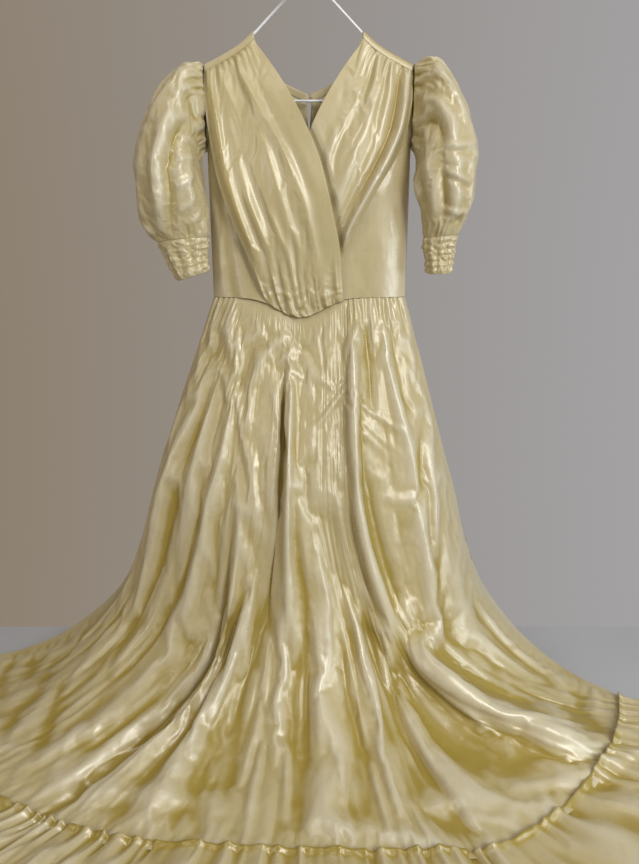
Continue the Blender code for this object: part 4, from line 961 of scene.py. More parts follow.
def streaked(row, across, along, seed=0, height=None):
    """The row's streaks, at the row's height or at one that changes over the panel."""
    height = row.height if height is None else height
    return height * streaks(row.across * across, row.along * along, row.seed + seed)


def ring_streaked(row, around, along, seed=0, height=None):
    height = row.height if height is None else height
    return height * ring_streaks(around, row.along * along, row.across, row.seed + seed)


def crumpled(row, points, seed=0):
    return row.height * crumple(points, row.size, row.seed + seed)


def grid_place(across, down, points):
    """A function that gives the place on a grid of points for any across and down."""
    def place(a, d):
        i = np.interp(a, across, np.arange(len(across)))
        j = np.interp(d, down, np.arange(len(down)))
        i0 = np.clip(np.floor(i).astype(int), 0, len(across) - 2)
        j0 = np.clip(np.floor(j).astype(int), 0, len(down) - 2)
        fi, fj = (i - i0)[:, None], (j - j0)[:, None]
        upper = points[j0, i0] * (1 - fi) + points[j0, i0 + 1] * fi
        lower = points[j0 + 1, i0] * (1 - fi) + points[j0 + 1, i0 + 1] * fi
        return upper * (1 - fj) + lower * fj
    return place


def coarse_place(surface, last, grid):
    """The place on a skirt panel for any fold line and share down it."""
    rows, columns = grid
    line, down = np.linspace(0, last, columns), np.linspace(0, 1, rows)
    return grid_place(line, down, surface(line, down, np.zeros(rows)))


def crease_path(crease, place):
    """The crease's line on the panel: a curve through its three places."""
    first = np.array([crease.a0, crease.d0])
    middle = np.array([crease.a1, crease.d1])
    final = np.array([crease.a2, crease.d2])
    bend = 2 * middle - (first + final) / 2
    t = np.linspace(0, 1, CREASE_STEPS + 1)[:, None]
    line = (1 - t) ** 2 * first + 2 * t * (1 - t) * bend + t ** 2 * final
    return place(line[:, 0], line[:, 1])


def crease_relief(points, creases, place):
    """Height that a panel's creases add at each of its points."""
    flat = points.reshape(-1, 3)
    total = np.zeros(len(flat))
    for crease in creases:
        path = crease_path(crease, place)
        reach = CREASE_REACH * crease.width
        near = np.all((flat > path.min(axis=0) - reach) & (flat < path.max(axis=0) + reach), axis=1)
        spots = flat[near]
        best = np.full(len(spots), np.inf)
        along = np.zeros(len(spots))
        for k in range(CREASE_STEPS):
            step = path[k + 1] - path[k]
            share = np.clip((spots - path[k]) @ step / (step @ step), 0, 1)
            away = ((spots - path[k] - share[:, None] * step) ** 2).sum(axis=1)
            closer = away < best
            best = np.where(closer, away, best)
            along = np.where(closer, (k + share) / CREASE_STEPS, along)
        t = np.sqrt(best) / crease.width
        taper = ease(along / CREASE_TAPER) * ease((1 - along) / CREASE_TAPER)
        profile = hump(t) - CREASE_SHOULDER * hump((t - 2.0) / 1.1)
        total[near] += crease.rise * taper * profile
    return total.reshape(points.shape[:-1])


def painted_shading_map(points, normals, closed):
    """How deep each point lies in a fold: 0.5 is level, 1 a deep fold, 0 a crest; it places the satin's
    painted shade and painted highlight.
    """
    core = points[:, :-1] if closed else points
    mean = core
    for stride in VALLEY_STRIDES:
        for _ in range(VALLEY_PASSES):
            wide = np.pad(mean, ((0, 0), (stride, stride), (0, 0)), "wrap" if closed else "edge")
            tall = np.pad(mean, ((stride, stride), (0, 0), (0, 0)), "edge")
            mean = (wide[:, :-2 * stride] + wide[:, 2 * stride:] + tall[:-2 * stride] + tall[2 * stride:]) / 4
    depth = ((mean - core) * normals[:, :core.shape[1]]).sum(axis=2)
    if closed:
        depth = np.concatenate([depth, depth[:, :1]], axis=1)
    return np.clip(0.5 + 0.5 * depth / VALLEY_DEPTH, 0, 1)


def cell_corners(grid):
    """The four corners of each cell of a grid, down its left side and up its right."""
    return np.stack([grid[:-1, :-1], grid[1:, :-1], grid[1:, 1:], grid[:-1, 1:]], axis=2)


def placed(name, data):
    """A new object in the scene."""
    piece = bpy.data.objects.new(name, data)
    bpy.context.scene.collection.objects.link(piece)
    return piece


def grid_mesh(name, points, index):
    mesh = bpy.data.meshes.new(name)
    quads = cell_corners(index)
    mesh.from_pydata(points.reshape(-1, 3).tolist(), [], quads.reshape(-1, 4).tolist())
    return mesh


def cloth(name, points, material, closed=False, nodes=(), thickness=SHELL):
    """A thin shell of cloth from a grid of points, rows down and columns to the right."""
    rows, columns, _ = points.shape
    normals = grid_normals(points, closed)
    # The fold-depth map is kept on the mesh; the satin paints shade in the folds and a highlight on the
    # crests from it.
    painted_shading = painted_shading_map(points, normals, closed)
    used = columns - 1 if closed else columns
    index = np.arange(rows * used).reshape(rows, used)
    if closed:
        index = np.concatenate([index, index[:, :1]], axis=1)
    mesh = grid_mesh(name, points[:, :used] - (0, 0, FLOOR_DROP), index)
    depth = mesh.attributes.new("painted_shading", "FLOAT", "POINT")
    depth.data.foreach_set("value", painted_shading[:, :used].astype(np.float32).ravel())
    lie = mesh.uv_layers.new(name="lie")
    flat = np.stack(np.meshgrid(np.linspace(0, 1, columns), np.linspace(1, 0, rows)), axis=-1)
    lie.data.foreach_set("uv", cell_corners(flat).astype(np.float32).ravel())
    mesh.shade_smooth()
    mesh.materials.append(material)
    piece = placed(name, mesh)
    if thickness:
        wall = piece.modifiers.new("shell", "SOLIDIFY")
        wall.thickness = thickness
        wall.offset = 0.0
    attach(piece, "root")
    panel = name.replace("_cloth", "")
    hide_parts(*(nodes or (panel,)))
    return piece


def between(values):
    """The rows of a grid with a smooth row put in between each two."""
    padded = np.concatenate([2 * values[:1] - values[1:2], values, 2 * values[-1:] - values[-2:-1]])
    middle = (9 * (padded[1:-2] + padded[2:-1]) - padded[:-3] - padded[3:]) / 16
    full = np.empty((2 * len(values) - 1,) + values.shape[1:])
    full[::2] = values
    full[1::2] = middle
    return full


def settled(points, hold, cut_scale, bend, closed=False):
    """The points after cloth cut a little too large wrinkles; hold pins each point, 0 to 1."""
    full = points
    points = points[::2, ::2]
    hold = np.broadcast_to(hold, full.shape[:2])[::2, ::2]
    rows, columns, _ = points.shape
    index = np.arange(rows * columns).reshape(rows, columns)
    if closed:
        index[:, -1] = index[:, 0]
    piece = placed("settling", grid_mesh("settling", points * SETTLE_SCALE * cut_scale, index))
    piece.shape_key_add(name="cut")
    hung = piece.shape_key_add(name="hung")
    hung.data.foreach_set("co", (points * SETTLE_SCALE).astype(np.float32).ravel())
    for frame_number, value in ((1, 0.0), (SETTLE_DRAWN_IN, 1.0)):
        hung.value = value
        hung.keyframe_insert("value", frame=frame_number)
    group = piece.vertex_groups.new(name="held")
    level = np.round(np.broadcast_to(hold, (rows, columns)) * HOLD_LEVELS).astype(int).ravel()
    for step in range(1, HOLD_LEVELS + 1):
        group.add(np.flatnonzero(level == step).tolist(), step / HOLD_LEVELS, "REPLACE")
    cloth_modifier = piece.modifiers.new("settle", "CLOTH")
    cloth_modifier.point_cache.frame_start = 1
    cloth_modifier.point_cache.frame_end = SETTLE_FRAMES
    rule = cloth_modifier.settings
    rule.quality = CLOTH_QUALITY
    rule.mass = CLOTH_MASS
    rule.air_damping = CLOTH_AIR
    rule.tension_stiffness = CLOTH_STRETCH
    rule.compression_stiffness = CLOTH_STRETCH
    rule.shear_stiffness = CLOTH_SHEAR
    rule.bending_stiffness = bend
    rule.vertex_group_mass = "held"
    rule.pin_stiffness = 1.0
    rule.effector_weights.gravity = 0.0
    cloth_modifier.collision_settings.use_collision = False
    cloth_modifier.collision_settings.use_self_collision = False
    for frame_number in range(1, SETTLE_FRAMES + 1):
        bpy.context.scene.frame_set(frame_number)
    graph = bpy.context.evaluated_depsgraph_get()
    moved = piece.evaluated_get(graph).to_mesh()
    spots = np.empty(rows * columns * 3)
    moved.vertices.foreach_get("co", spots)
    piece.evaluated_get(graph).to_mesh_clear()
    bpy.data.objects.remove(piece)
    bpy.context.scene.frame_set(1)
    shift = spots.reshape(rows, columns, 3) / SETTLE_SCALE - points
    if closed:
        shift[:, -1] = shift[:, 0]
    length = np.linalg.norm(shift, axis=2, keepdims=True)
    shift = shift * np.minimum(1, SETTLE_CAP / np.maximum(length, TINY))
    return full + between(between(shift).swapaxes(0, 1)).swapaxes(0, 1)


def held_edges(down, across, top, foot, sides, least):
    """How firmly each point is held: fully at the edges, and least in the middle."""
    rows = ease(down / top) * ease((1 - down) / foot)
    columns = ease(across / sides) * ease((1 - across) / sides) if sides else np.ones(len(across))
    return np.clip(least + 1 - rows[:, None] * columns[None, :], 0, 1)


# Materials.
def new_material(name):
    material = bpy.data.materials.new(name)
    material.use_nodes = True
    return material, material.node_tree, material.node_tree.nodes["Principled BSDF"]


def multiplied(tree, first, second):
    """One colour times another; a mix node keeps its colours at sockets 6 and 7."""
    mix = tree.nodes.new("ShaderNodeMix")
    mix.data_type = "RGBA"
    mix.blend_type = "MULTIPLY"
    mix.inputs[0].default_value = 1.0
    tree.links.new(first, mix.inputs[6])
    tree.links.new(second, mix.inputs[7])
    return mix.outputs[2]


def noise_node(tree, scale, detail, stretch=(1, 1, 1)):
    place = tree.nodes.new("ShaderNodeTexCoord")
    mapping = tree.nodes.new("ShaderNodeMapping")
    mapping.inputs["Scale"].default_value = stretch
    noise = tree.nodes.new("ShaderNodeTexNoise")
    noise.inputs["Scale"].default_value = scale
    noise.inputs["Detail"].default_value = detail
    tree.links.new(place.outputs["Object"], mapping.inputs["Vector"])
    tree.links.new(mapping.outputs["Vector"], noise.inputs["Vector"])
    return noise.outputs["Fac"]


def bump_node(tree, source, strength, distance, under=None):
    bump = tree.nodes.new("ShaderNodeBump")
    bump.inputs["Strength"].default_value = strength
    bump.inputs["Distance"].default_value = distance
    tree.links.new(source, bump.inputs["Height"])
    if under is not None:
        tree.links.new(under, bump.inputs["Normal"])
    return bump.outputs["Normal"]


def ramp(tree, source, stops):
    node = tree.nodes.new("ShaderNodeValToRGB")
    elements = node.color_ramp.elements
    while len(elements) < len(stops):
        elements.new(0.5)
    for element, (at, colour) in zip(elements, stops):
        element.position = at
        element.color = colour
    tree.links.new(source, node.inputs["Fac"])
    return node.outputs["Color"]


def grey(value):
    return (value, value, value, 1.0)


def grey_stops(stops, base=0.0):
    return [(at, grey(base + value)) for at, value in stops]


def satin_material(name, crest_highlight, body, fold, roughness):
    """Silk satin: a painted highlight on the crests and painted golden shade in the folds, a sheen along the
    thread and a fine weave.
    """
    material, tree, shader = new_material(name)
    # Painted highlight on the crests and painted shade in the folds, read from the fold-depth map.
    depth = tree.nodes.new("ShaderNodeAttribute")
    depth.attribute_name = "painted_shading"
    tone = ramp(tree, depth.outputs["Fac"], list(zip(SATIN_STOPS, (crest_highlight, body, body, fold))))
    for grain, tones in ((AGE_GRAIN, AGE_TONES), (SPECK_GRAIN, SPECK_TONES)):
        change = ramp(tree, noise_node(tree, *grain), grey_stops(tones))
        tone = multiplied(tree, tone, change)
    tree.links.new(tone, shader.inputs["Base Color"])
    gloss = ramp(tree, noise_node(tree, *GLOSS_GRAIN), grey_stops(SATIN_GLOSS, roughness))
    tree.links.new(gloss, shader.inputs["Roughness"])
    for socket, value in SATIN_FINISH.items():
        shader.inputs[socket].default_value = value
    thread = tree.nodes.new("ShaderNodeTangent")
    thread.direction_type = "UV_MAP"
    thread.uv_map = "lie"
    tree.links.new(thread.outputs["Tangent"], shader.inputs["Tangent"])
    rough = bump_node(tree, noise_node(tree, *WRINKLE_GRAIN), *WRINKLE_BUMP)
    fine = bump_node(tree, noise_node(tree, *WEAVE_GRAIN), *WEAVE_BUMP, rough)
    tree.links.new(fine, shader.inputs["Normal"])
    return material


def plain_material(name, colour, worn, roughness, metallic=0.0, scale=60.0):
    """A hard finish with small changes of tone and gloss."""
    material, tree, shader = new_material(name)
    tone = ramp(tree, noise_node(tree, scale, 4.0), ((0.35, worn), (0.60, colour)))
    tree.links.new(tone, shader.inputs["Base Color"])
    gloss = ramp(tree, noise_node(tree, scale * 2, 3.0), grey_stops(PLAIN_GLOSS, roughness))
    tree.links.new(gloss, shader.inputs["Roughness"])
    shader.inputs["Metallic"].default_value = metallic
    bump = bump_node(tree, noise_node(tree, scale * 8, 2.0), *PLAIN_BUMP)
    tree.links.new(bump, shader.inputs["Normal"])
    return material


satin = satin_material("satin", SATIN_CREST_HIGHLIGHT, SATIN_BODY, SATIN_FOLD_SHADE, SATIN_ROUGHNESS)
# A darker copy of the satin as painted shade, for the bodice back, the skirt back and the back ruffle.
satin_shade = satin_material("satin_shade", PAINTED_SHADE_CREST, PAINTED_SHADE_BODY, PAINTED_SHADE_FOLD, SHADE_ROUGHNESS)
wire = plain_material("coated_wire", WIRE_COLOUR, WIRE_WORN, 0.32)
metal = plain_material("hook_metal", METAL_COLOUR, METAL_WORN, 0.36, 1.0, 400.0)


# Bodice.
def drape_grid(table, columns, rows, away, folds):
    """A draped front: from its neck edge across to its folded outer edge."""
    across = np.linspace(0, 1, columns)
    down = np.linspace(0, 1, rows)
    stations = np.linspace(0, 1, len(table))
    edges = smooth(stations, np.array(table, float), down)
    neck_x, neck_h, outer_x, outer_h = (edges[:, k:k + 1] for k in range(4))
    x = neck_x + (outer_x - neck_x) * across
    height = neck_h + (outer_h - neck_h) * across
    top = shoulder_height(x) - YOKE_DROP - SEAM_GAP
    straight = NECK_EDGE_SHARE + (1 - NECK_EDGE_SHARE) * ease(across / NECK_BAND_SHARE)
    height += (top - height) * (1 - ease(down[:, None] / (DRAPE_TOP_SHARE * straight)))
    bottom = waist_height(x) + SEAM_GAP
    height += (bottom - height) * ease(1 - (1 - down) / DRAPE_FOOT_SHARE)[:, None]
    rise, _ = fold_relief(folds, across, down)
    gathered = (across - NECK_BAND_SHARE) / (1 - NECK_BAND_SHARE)
    shoulder_gathers = gather_relief(SHOULDER_GATHERS, gathered) * ease(gathered / 0.08)
    rise += SHOULDER_GATHER_RISE * shoulder_gathers * (1 - ease(down / 0.22))[:, None]
    rise *= ease(0.35 + down / 0.10)[:, None] * ease(0.25 + (1 - down) / 0.12)[:, None]
    waist_folds = gather_relief(WAIST_FOLDS, across) * ease((down - 0.80) / 0.12)[:, None]
    rise += WAIST_FOLD_RISE * waist_folds
    tuck = ease((1 - across) / DRAPE_TUCK_SHARE)
    fullness = ease(down / 0.30) * ease((1 - down) / 0.25)
    stand = away[0] + (away[1] - away[0]) * fullness[:, None]
    y = front_y(x, height) - stand - rise * tuck
    at_yoke = (1 - ease(down / 0.10))[:, None]
    y += (-YOKE_DEPTH - rise - y) * at_yoke
    return np.stack([x, y, height], axis=2)


def shaped_drape(table, grid, away, folds, creases, seed):
    """A draped front with uneven folds, gathered at the shoulder and crumpled at the waist."""
    rows, columns = grid
    points = drape_grid(table, columns, rows, away, folds)
    across, down = np.linspace(0, 1, columns), np.linspace(0, 1, rows)
    over, along = across[None, :], down[:, None]
    plain = come_in(over, DRAPE_BAND_FADE)
    top = 1 - come_in(along, DRAPE_TOP_FADE)
    foot = come_in(along, DRAPE_FOOT_FADE)
    relief = DRAPE_CREASE_SHARE * crease_relief(points, creases, grid_place(across, down, points))
    relief += streaked(DRAPE_STREAKS, over, along, seed) * plain
    relief += streaked(DRAPE_TOP_STREAKS, over, along, seed) * plain * top
    relief += streaked(DRAPE_FOOT_STREAKS, over, along, seed) * foot
    relief += crumpled(DRAPE_FOOT_CRUMPLE, points, seed) * foot
    relief += crumpled(DRAPE_CRUMPLE, points * LENGTHENED, seed) * plain
    fade = ease(0.15 + edge_fade(down, 0.04))[:, None] * ease(0.25 + edge_fade(across, 0.05))[None, :]
    points[:, :, 1] -= relief * fade
    hung = points[:, :, 1].copy()
    banded = 1 - come_in(over, DRAPE_BAND_HOLD)
    hold = np.maximum(held_edges(down, across, *DRAPE_HOLD), banded)
    points = settled(points, hold, DRAPE_CUT, DRAPE_BEND)
    points[:, :, 1] = np.minimum(points[:, :, 1], hung + DRAPE_INWARD)
    return points


def build_fronts():
    over = shaped_drape(OVER_FRONT, OVER_GRID, OVER_STAND, OVER_SOFT_FOLDS, OVER_CREASES, seed=3)
    cloth("front_over_cloth", over, satin)
    under = shaped_drape(UNDER_FRONT, UNDER_GRID, UNDER_STAND, UNDER_SOFT_FOLDS, UNDER_CREASES, seed=5)
    over_heights = column(OVER_FRONT, "neck_height")[::-1]
    over_edge = smooth(over_heights, column(OVER_FRONT, "neck_x")[::-1], under[:, :, 2])
    covered = ease((over_edge + UNDER_MARGIN - under[:, :, 0]) / UNDER_MARGIN)
    base = front_y(under[:, :, 0], under[:, :, 2]) - UNDER_COVERED_AWAY
    under[:, :, 1] += (base - under[:, :, 1]) * covered
    cloth("front_under_cloth", under, satin)


def build_side_front(side, name):
    table = OVER_FRONT if side < 0 else UNDER_FRONT
    heights = column(table, "outer_height")
    outer = np.abs(column(table, "outer_x"))
    rows, columns = SIDE_FRONT_GRID
    height = np.linspace(SIDE_FRONT_TOP, WAIST_HEIGHT, rows)
    edge = smooth(heights[::-1], outer[::-1], height)
    inner = np.maximum(edge - SIDE_FRONT_TUCKED, SIDE_FRONT_LEAST)
    across = np.linspace(0, 1, columns)
    x = side * (SIDE_X + (inner - SIDE_X)[:, None] * across)
    bottom = waist_height(x) + 4 * SEAM_GAP
    grown = np.broadcast_to(height[:, None], x.shape).copy()
    grown += (bottom - grown) * ease((WAIST_HEIGHT + 0.10 - grown) / 0.10)
    creased = ease((SIDE_FRONT_CREASE_TOP - height) / 0.10)[:, None]
    y = front_y(x, grown) - SIDE_FRONT_CREASE * gather_relief(2, across)[None, :] * creased
    points = np.stack([x, y, grown], axis=2)
    lower = (0.35 + 0.65 * ease((SIDE_FRONT_FOLD_TOP - height) / 0.12))[:, None]
    along = (SIDE_FRONT_WRINKLE_TOP - height)[:, None] / SIDE_FRONT_WRINKLE_LENGTH
    folded = streaks(SIDE_FRONT_WRINKLES[side] * across[None, :], along, SIDE_FRONT_SEED)
    relief = SIDE_FRONT_RELIEF[side] * folded * lower + crumpled(SIDE_FRONT_CRUMPLE, points * LENGTHENED)
    points[:, :, 1] -= relief * edge_fade(across, 0.12)[None, :]
    if side > 0:
        points = points[:, ::-1]
    cloth(name + "_cloth", points, satin)


def back_top(x):
    """Upper edge of the back: a shallow V neckline, then the shoulder."""
    neckline = BACK_NECK_HEIGHT + BACK_NECK_RISE * (x / BACK_NECK_REACH) ** BACK_NECK_POWER
    shoulder = shoulder_height(np.maximum(x, NECK_X)) - YOKE_DROP
    climb = ease((x - BACK_SHOULDER_FROM) / BACK_SHOULDER_BLEND)
    return neckline + (shoulder - neckline) * climb


def build_back(side, name, band_name):
    across = np.linspace(0, 1, BACK_GRID[1])
    middle = SEAM_GAP / 2
    flat_x = middle + (SIDE_X - middle) * across
    band_end = middle + (SIDE_X - middle) * BACK_COLUMNS[BACK_BAND_COLUMNS - 1]
    clear = np.interp(flat_x, (band_end, NECK_X), (BACK_NECK_BAND + SEAM_GAP, SEAM_GAP))
    top = back_top(flat_x) - clear
    down = np.linspace(0, 1, BACK_GRID[0])
    height = top[None, :] + (WAIST_HEIGHT + SEAM_GAP - top)[None, :] * down[:, None]
    open_here = ease((height - BACK_NECK_HEIGHT) / BACK_SLIT_LENGTH + 1)
    near_middle = 1 - ease(across / BACK_SLIT_SHARE)
    x = flat_x[None, :] + BACK_SLIT_HALF * open_here * near_middle[None, :]
    points = np.stack([side * x, back_y(x, height), height], axis=2)
    fade = edge_fade(across, 0.1)[None, :] * edge_fade(down, 0.06)[:, None]
    creased = crumpled(BACK_CRUMPLE, points * LENGTHENED) + crumpled(BACK_FINE_CRUMPLE, points)
    swells = BACK_SWELL * soft_noise(points * BACK_SWELL_SHAPE, BACK_SWELL_SIZE, BACK_SWELL_SEED)
    points[:, :, 1] += (swells + creased + BACK_FULLNESS) * fade
    if side > 0:
        points = points[:, ::-1]
    cloth(name + "_cloth", points, satin_shade)
    band_rows, band_columns = BACK_BAND_GRID
    share = np.linspace(0, BACK_COLUMNS[BACK_BAND_COLUMNS - 1], band_columns)
    edge = middle + (SIDE_X - middle) * share
    level = np.linspace(0, BACK_NECK_BAND, band_rows)[:, None]
    band_height = back_top(edge)[None, :] - level
    band_x = np.broadcast_to(edge, band_height.shape).copy()
    band_x += BAND_SLIT_SHARE * BACK_SLIT_HALF * (1 - ease(share / BACK_SLIT_SHARE))[None, :]
    band = np.stack([side * band_x, back_y(band_x, band_height), band_height], axis=2)
    if side > 0:
        band = band[:, ::-1]
    cloth(band_name + "_cloth", band, satin)


def build_yoke(side, name):
    rows, columns = YOKE_GRID
    x = np.linspace(YOKE_START_X, SHOULDER_TIP_X, columns)
    stations = np.linspace(0, 1, len(YOKE_SECTION))
    share = np.linspace(1, 0, rows)
    y = smooth(stations, column(YOKE_SECTION, "y"), share)
    drop = smooth(stations, column(YOKE_SECTION, "drop"), share)
    points = np.empty((len(share), len(x), 3))
    points[:, :, 0] = side * x
    points[:, :, 1] = y[:, None]
    points[:, :, 2] = shoulder_height(x)[None, :] - drop[:, None]
    cloth(name + "_cloth", points, satin)


# Sleeves.
def ring_grid(table, side, columns, rows, first_power=1.0):
    """Rings of a sleeve: the outer point at angle 0, the front at a quarter turn."""
    down = np.linspace(0, 1, rows)
    rings = smooth(np.linspace(0, 1, len(table)), np.array(table, float), down)
    outer = np.stack([rings[:, 0], rings[:, 5], rings[:, 1]], axis=1)
    inner = np.stack([rings[:, 2], rings[:, 5], rings[:, 3]], axis=1)
    middle, half = (outer + inner) / 2, (outer - inner) / 2
    angle = np.linspace(0, 2 * math.pi, columns + 1)
    power = (first_power + (1 - first_power) * ease(down / ARMHOLE_POWER_SHARE))[:, None]
    long_way = np.sign(np.cos(angle)) * np.abs(np.cos(angle)) ** power
    short_way = np.sign(np.sin(angle)) * np.abs(np.sin(angle)) ** power
    points = middle[:, None] + half[:, None] * long_way[:, :, None]
    points[:, :, 1] -= rings[:, 4:5] * short_way
    points[:, -1] = points[:, 0]
    points[:, :, 0] *= side
    if side > 0:
        points = points[:, ::-1]
    return points, down


def build_sleeve(side, name, table, creases, seed):
    rows, columns = SLEEVE_GRID
    points, down = ring_grid(table, side, columns, rows, ARMHOLE_POWER)
    around = np.linspace(0, 1, columns + 1)[::-side]
    folds, _ = fold_relief(SLEEVE_FOLDS, around, down)
    over, along = around[None, :], down[:, None]
    cap = 1 - come_in(along, SLEEVE_CAP_FADE)
    wrist = come_in(along, SLEEVE_WRIST_FADE)
    edge = ease(0.45 + along / 0.06) * ease(0.45 + (1 - along) / 0.08)
    relief = SLEEVE_SOFT_FOLDS * folds
    relief += ring_streaked(SLEEVE_CAP_STREAKS, over, along, seed) * cap
    relief += ring_streaked(SLEEVE_CAP_GATHERS, over, along, seed) * cap
    relief += ring_streaked(SLEEVE_WRIST_STREAKS, over, along, seed) * wrist
    relief += ring_streaked(SLEEVE_LONG_STREAKS, over, along, seed) * come_in(along, SLEEVE_LONG_FADE)
    order = np.argsort(around)
    place = grid_place(around[order], down, points[:, order])
    relief += SLEEVE_CREASE_SHARE * crease_relief(points, creases, place)
    relief += crumpled(SLEEVE_CRUMPLE, points, seed) * come_in(along, SLEEVE_CRUMPLE_FADE)
    relief += crumpled(SLEEVE_FINE_CRUMPLE, points, seed)
    relief *= edge
    seam_x = points[0, :, 0].copy()
    points += grid_normals(points, closed=True) * relief[:, :, None]
    points[0, :, 0] = seam_x
    points[:, -1] = points[:, 0]
    hold = held_edges(down, around, *SLEEVE_HOLD)
    points = settled(points, hold, SLEEVE_CUT, SLEEVE_BEND, closed=True)
    points[0, :, 0] = seam_x
    cloth(name + "_cloth", points, satin, closed=True)
    return points[-1]


def build_cuff(side, name, table, sleeve_edge, shirring):
    """A shirred cuff: small uneven puffs between rows of drawn-up thread."""
    rows, columns = CUFF_GRID
    points, down = ring_grid(table, side, columns, rows)
    around = np.linspace(0, 1, columns + 1)[None, :]
    along = down[:, None]
    drawn = gather_relief(shirring, along + ring_streaked(CUFF_SWAY, around, along))
    relief = CUFF_RISE * gather_relief(CUFF_GATHERS, around)
    puffed = CUFF_PUFFS.height + CUFF_PUFFS_GROWTH * drawn
    relief = relief + ring_streaked(CUFF_PUFFS, around, along, height=puffed)
    relief += CUFF_ROWS_RISE * drawn
    relief *= ease(0.3 + (1 - along) / 0.10)
    points += grid_normals(points, closed=True) * relief[:, :, None]
    near = 1 - come_in(down, CUFF_JOIN_FADE)
    joined = sleeve_edge + SEAM_GAP * unit(points[1] - sleeve_edge)
    points += (joined - points[0])[None] * near[:, None, None]
    points[:, -1] = points[:, 0]
    cloth(name + "_cloth", points, satin, closed=True)


# Skirt.
def lens_y(x, half_left, half_right, depth):
    """Forward reach of the skirt's front across one level."""
    half = np.where(x < 0, half_left, half_right)
    return -depth * np.sqrt(np.clip(1 - (x / half) ** 2, 0.0, 1.0))


def back_hem_y(x):
    return smooth(column(BACK_LINES, "hem_x"), column(BACK_LINES, "hem_y"), x)


def front_base(line, down, beyond):
    """The skirt's front without its folds; beyond is a length past the ruffle seam."""
    table = np.array(FRONT_LINES, float)
    at = smooth(np.arange(len(table)), table, line)
    waist_x, knee_x, shin_x, seam_x, seam_y = at.T
    waist = np.stack([waist_x, -LAYER / 2 - WAIST_DEPTH * np.sqrt(np.clip(
        1 - (waist_x / SIDE_X) ** 2, 0, 1)), waist_height(waist_x)], axis=1)
    knee_half = (-table[0, 1], table[-1, 1])
    shin_half = (-table[0, 2], table[-1, 2])
    knee = np.stack([knee_x, lens_y(knee_x, *knee_half, KNEE_DEPTH) - LAYER / 2,
                     np.full_like(knee_x, KNEE_HEIGHT)], axis=1)
    shin = np.stack([shin_x, lens_y(shin_x, *shin_half, SHIN_DEPTH) - LAYER / 2,
                     np.full_like(shin_x, SHIN_HEIGHT)], axis=1)
    seam = np.stack([seam_x, seam_y, np.full_like(seam_x, REST_HEIGHT)], axis=1)
    turn = shin + TURN_REACH * (seam - shin)
    turn[:, 2] = TURN_HEIGHT
    knots = np.stack([waist, knee, shin, turn, seam])
    points = smooth([0, KNEE_AT, SHIN_AT, TURN_AT, 1], knots, np.minimum(down, 1.0))
    outward = unit((seam - turn) * (1, 1, 0))
    return points + outward[None] * np.asarray(beyond)[:, None, None]


def front_smooth_points(line, down, beyond):
    """The skirt's front with its gathers and main folds, before its creases."""
    points = front_base(line, down, beyond)
    normal = grid_normals(points)
    sideways = unit(np.gradient(points, axis=1))
    last = len(FRONT_LINES) - 1
    rise, lean = fold_relief(FRONT_FOLDS, line, down)
    calm = calm_sides(line, last, FRONT_CALM_EDGE)
    rise = rise * calm[None, :]
    left = gather_relief(WAIST_GATHERS_LEFT, line / LEFT_GATHERS_END)
    left *= ease((LEFT_GATHERS_END + 0.05 - line) / 0.15)
    right = gather_relief(WAIST_GATHERS_RIGHT, (line - RIGHT_GATHERS_START) / RIGHT_GATHERS_SPAN)
    right *= ease((line - RIGHT_GATHERS_START + 0.10) / 0.20)
    fade = (1 - ease(down / GATHER_FADE))[:, None]
    rise = rise + GATHER_RISE * (left + right)[None, :] * calm[None, :] * fade
    return points + normal * rise[:, :, None] + sideways * lean[:, :, None]


def skirt_relief(points, line, down):
    """Uneven streaks, crumples and fine waist gathers of the skirt's front."""
    over, along = line[None, :], down[:, None]
    middle = hump((over - SKIRT_CALM_LINE) / 2.0) * (1 - come_in(along, SKIRT_MIDDLE_FADE))
    calm = 1 - SKIRT_CALM_SHARE * middle
    spread = 0.22 + 0.78 * ease(along / 0.55)
    relief = streaked(SKIRT_STREAKS, over, along, height=SKIRT_STREAKS.height * spread)
    narrow = SKIRT_NARROW_STREAKS.height + SKIRT_NARROW_GROWTH * along
    relief += streaked(SKIRT_NARROW_STREAKS, over, along, height=narrow)
    patches = 0.35 + 0.65 * ease(0.5 + plane_noise(0.9 * over, 4.0 * along, SKIRT_PATCH_SEED))
    relief += crumpled(SKIRT_CRUMPLE, points * LENGTHENED) * patches
    sides = ease((2.0 - over) / 0.6) + ease((over - 7.2) / 0.5)
    gathers = streaked(SKIRT_WAIST_GATHERS, over, along) * (1 - come_in(along, SKIRT_GATHER_FADE))
    return relief * calm + gathers * sides


def front_points(line, down, beyond, creased=True):
    """The skirt's front, resting on the floor and on the back's hem."""
    points = front_smooth_points(line, down, beyond)
    if creased:
        calm = calm_sides(line, len(FRONT_LINES) - 1, FRONT_CALM_EDGE)
        relief = CREASE_SHARE * crease_relief(points, SKIRT_CREASES, front_place)
        relief += skirt_relief(points, line, down)
        fade = ease((down - 0.004) / 0.03)[:, None] * ease(0.3 + (1 - down) / 0.04)[:, None]
        for seam in (SIDE_SEAM_LEFT, FRONT_SEAM_LEFT, FRONT_SEAM_RIGHT, SIDE_SEAM_RIGHT):
            relief -= SEAM_GROOVE * hump((line - seam) / SEAM_GROOVE_WIDTH)[None, :]
        points = points + grid_normals(points) * (relief * calm[None, :] * fade)[:, :, None]
    reach = (points[:, :, 1] - back_hem_y(points[:, :, 0])) / LEDGE_SLOPE + 1
    floor = REST_HEIGHT + LEDGE_HEIGHT * ease(reach)
    points[:, :, 2] = at_least(points[:, :, 2], floor, FLOOR_BLEND)
    return points


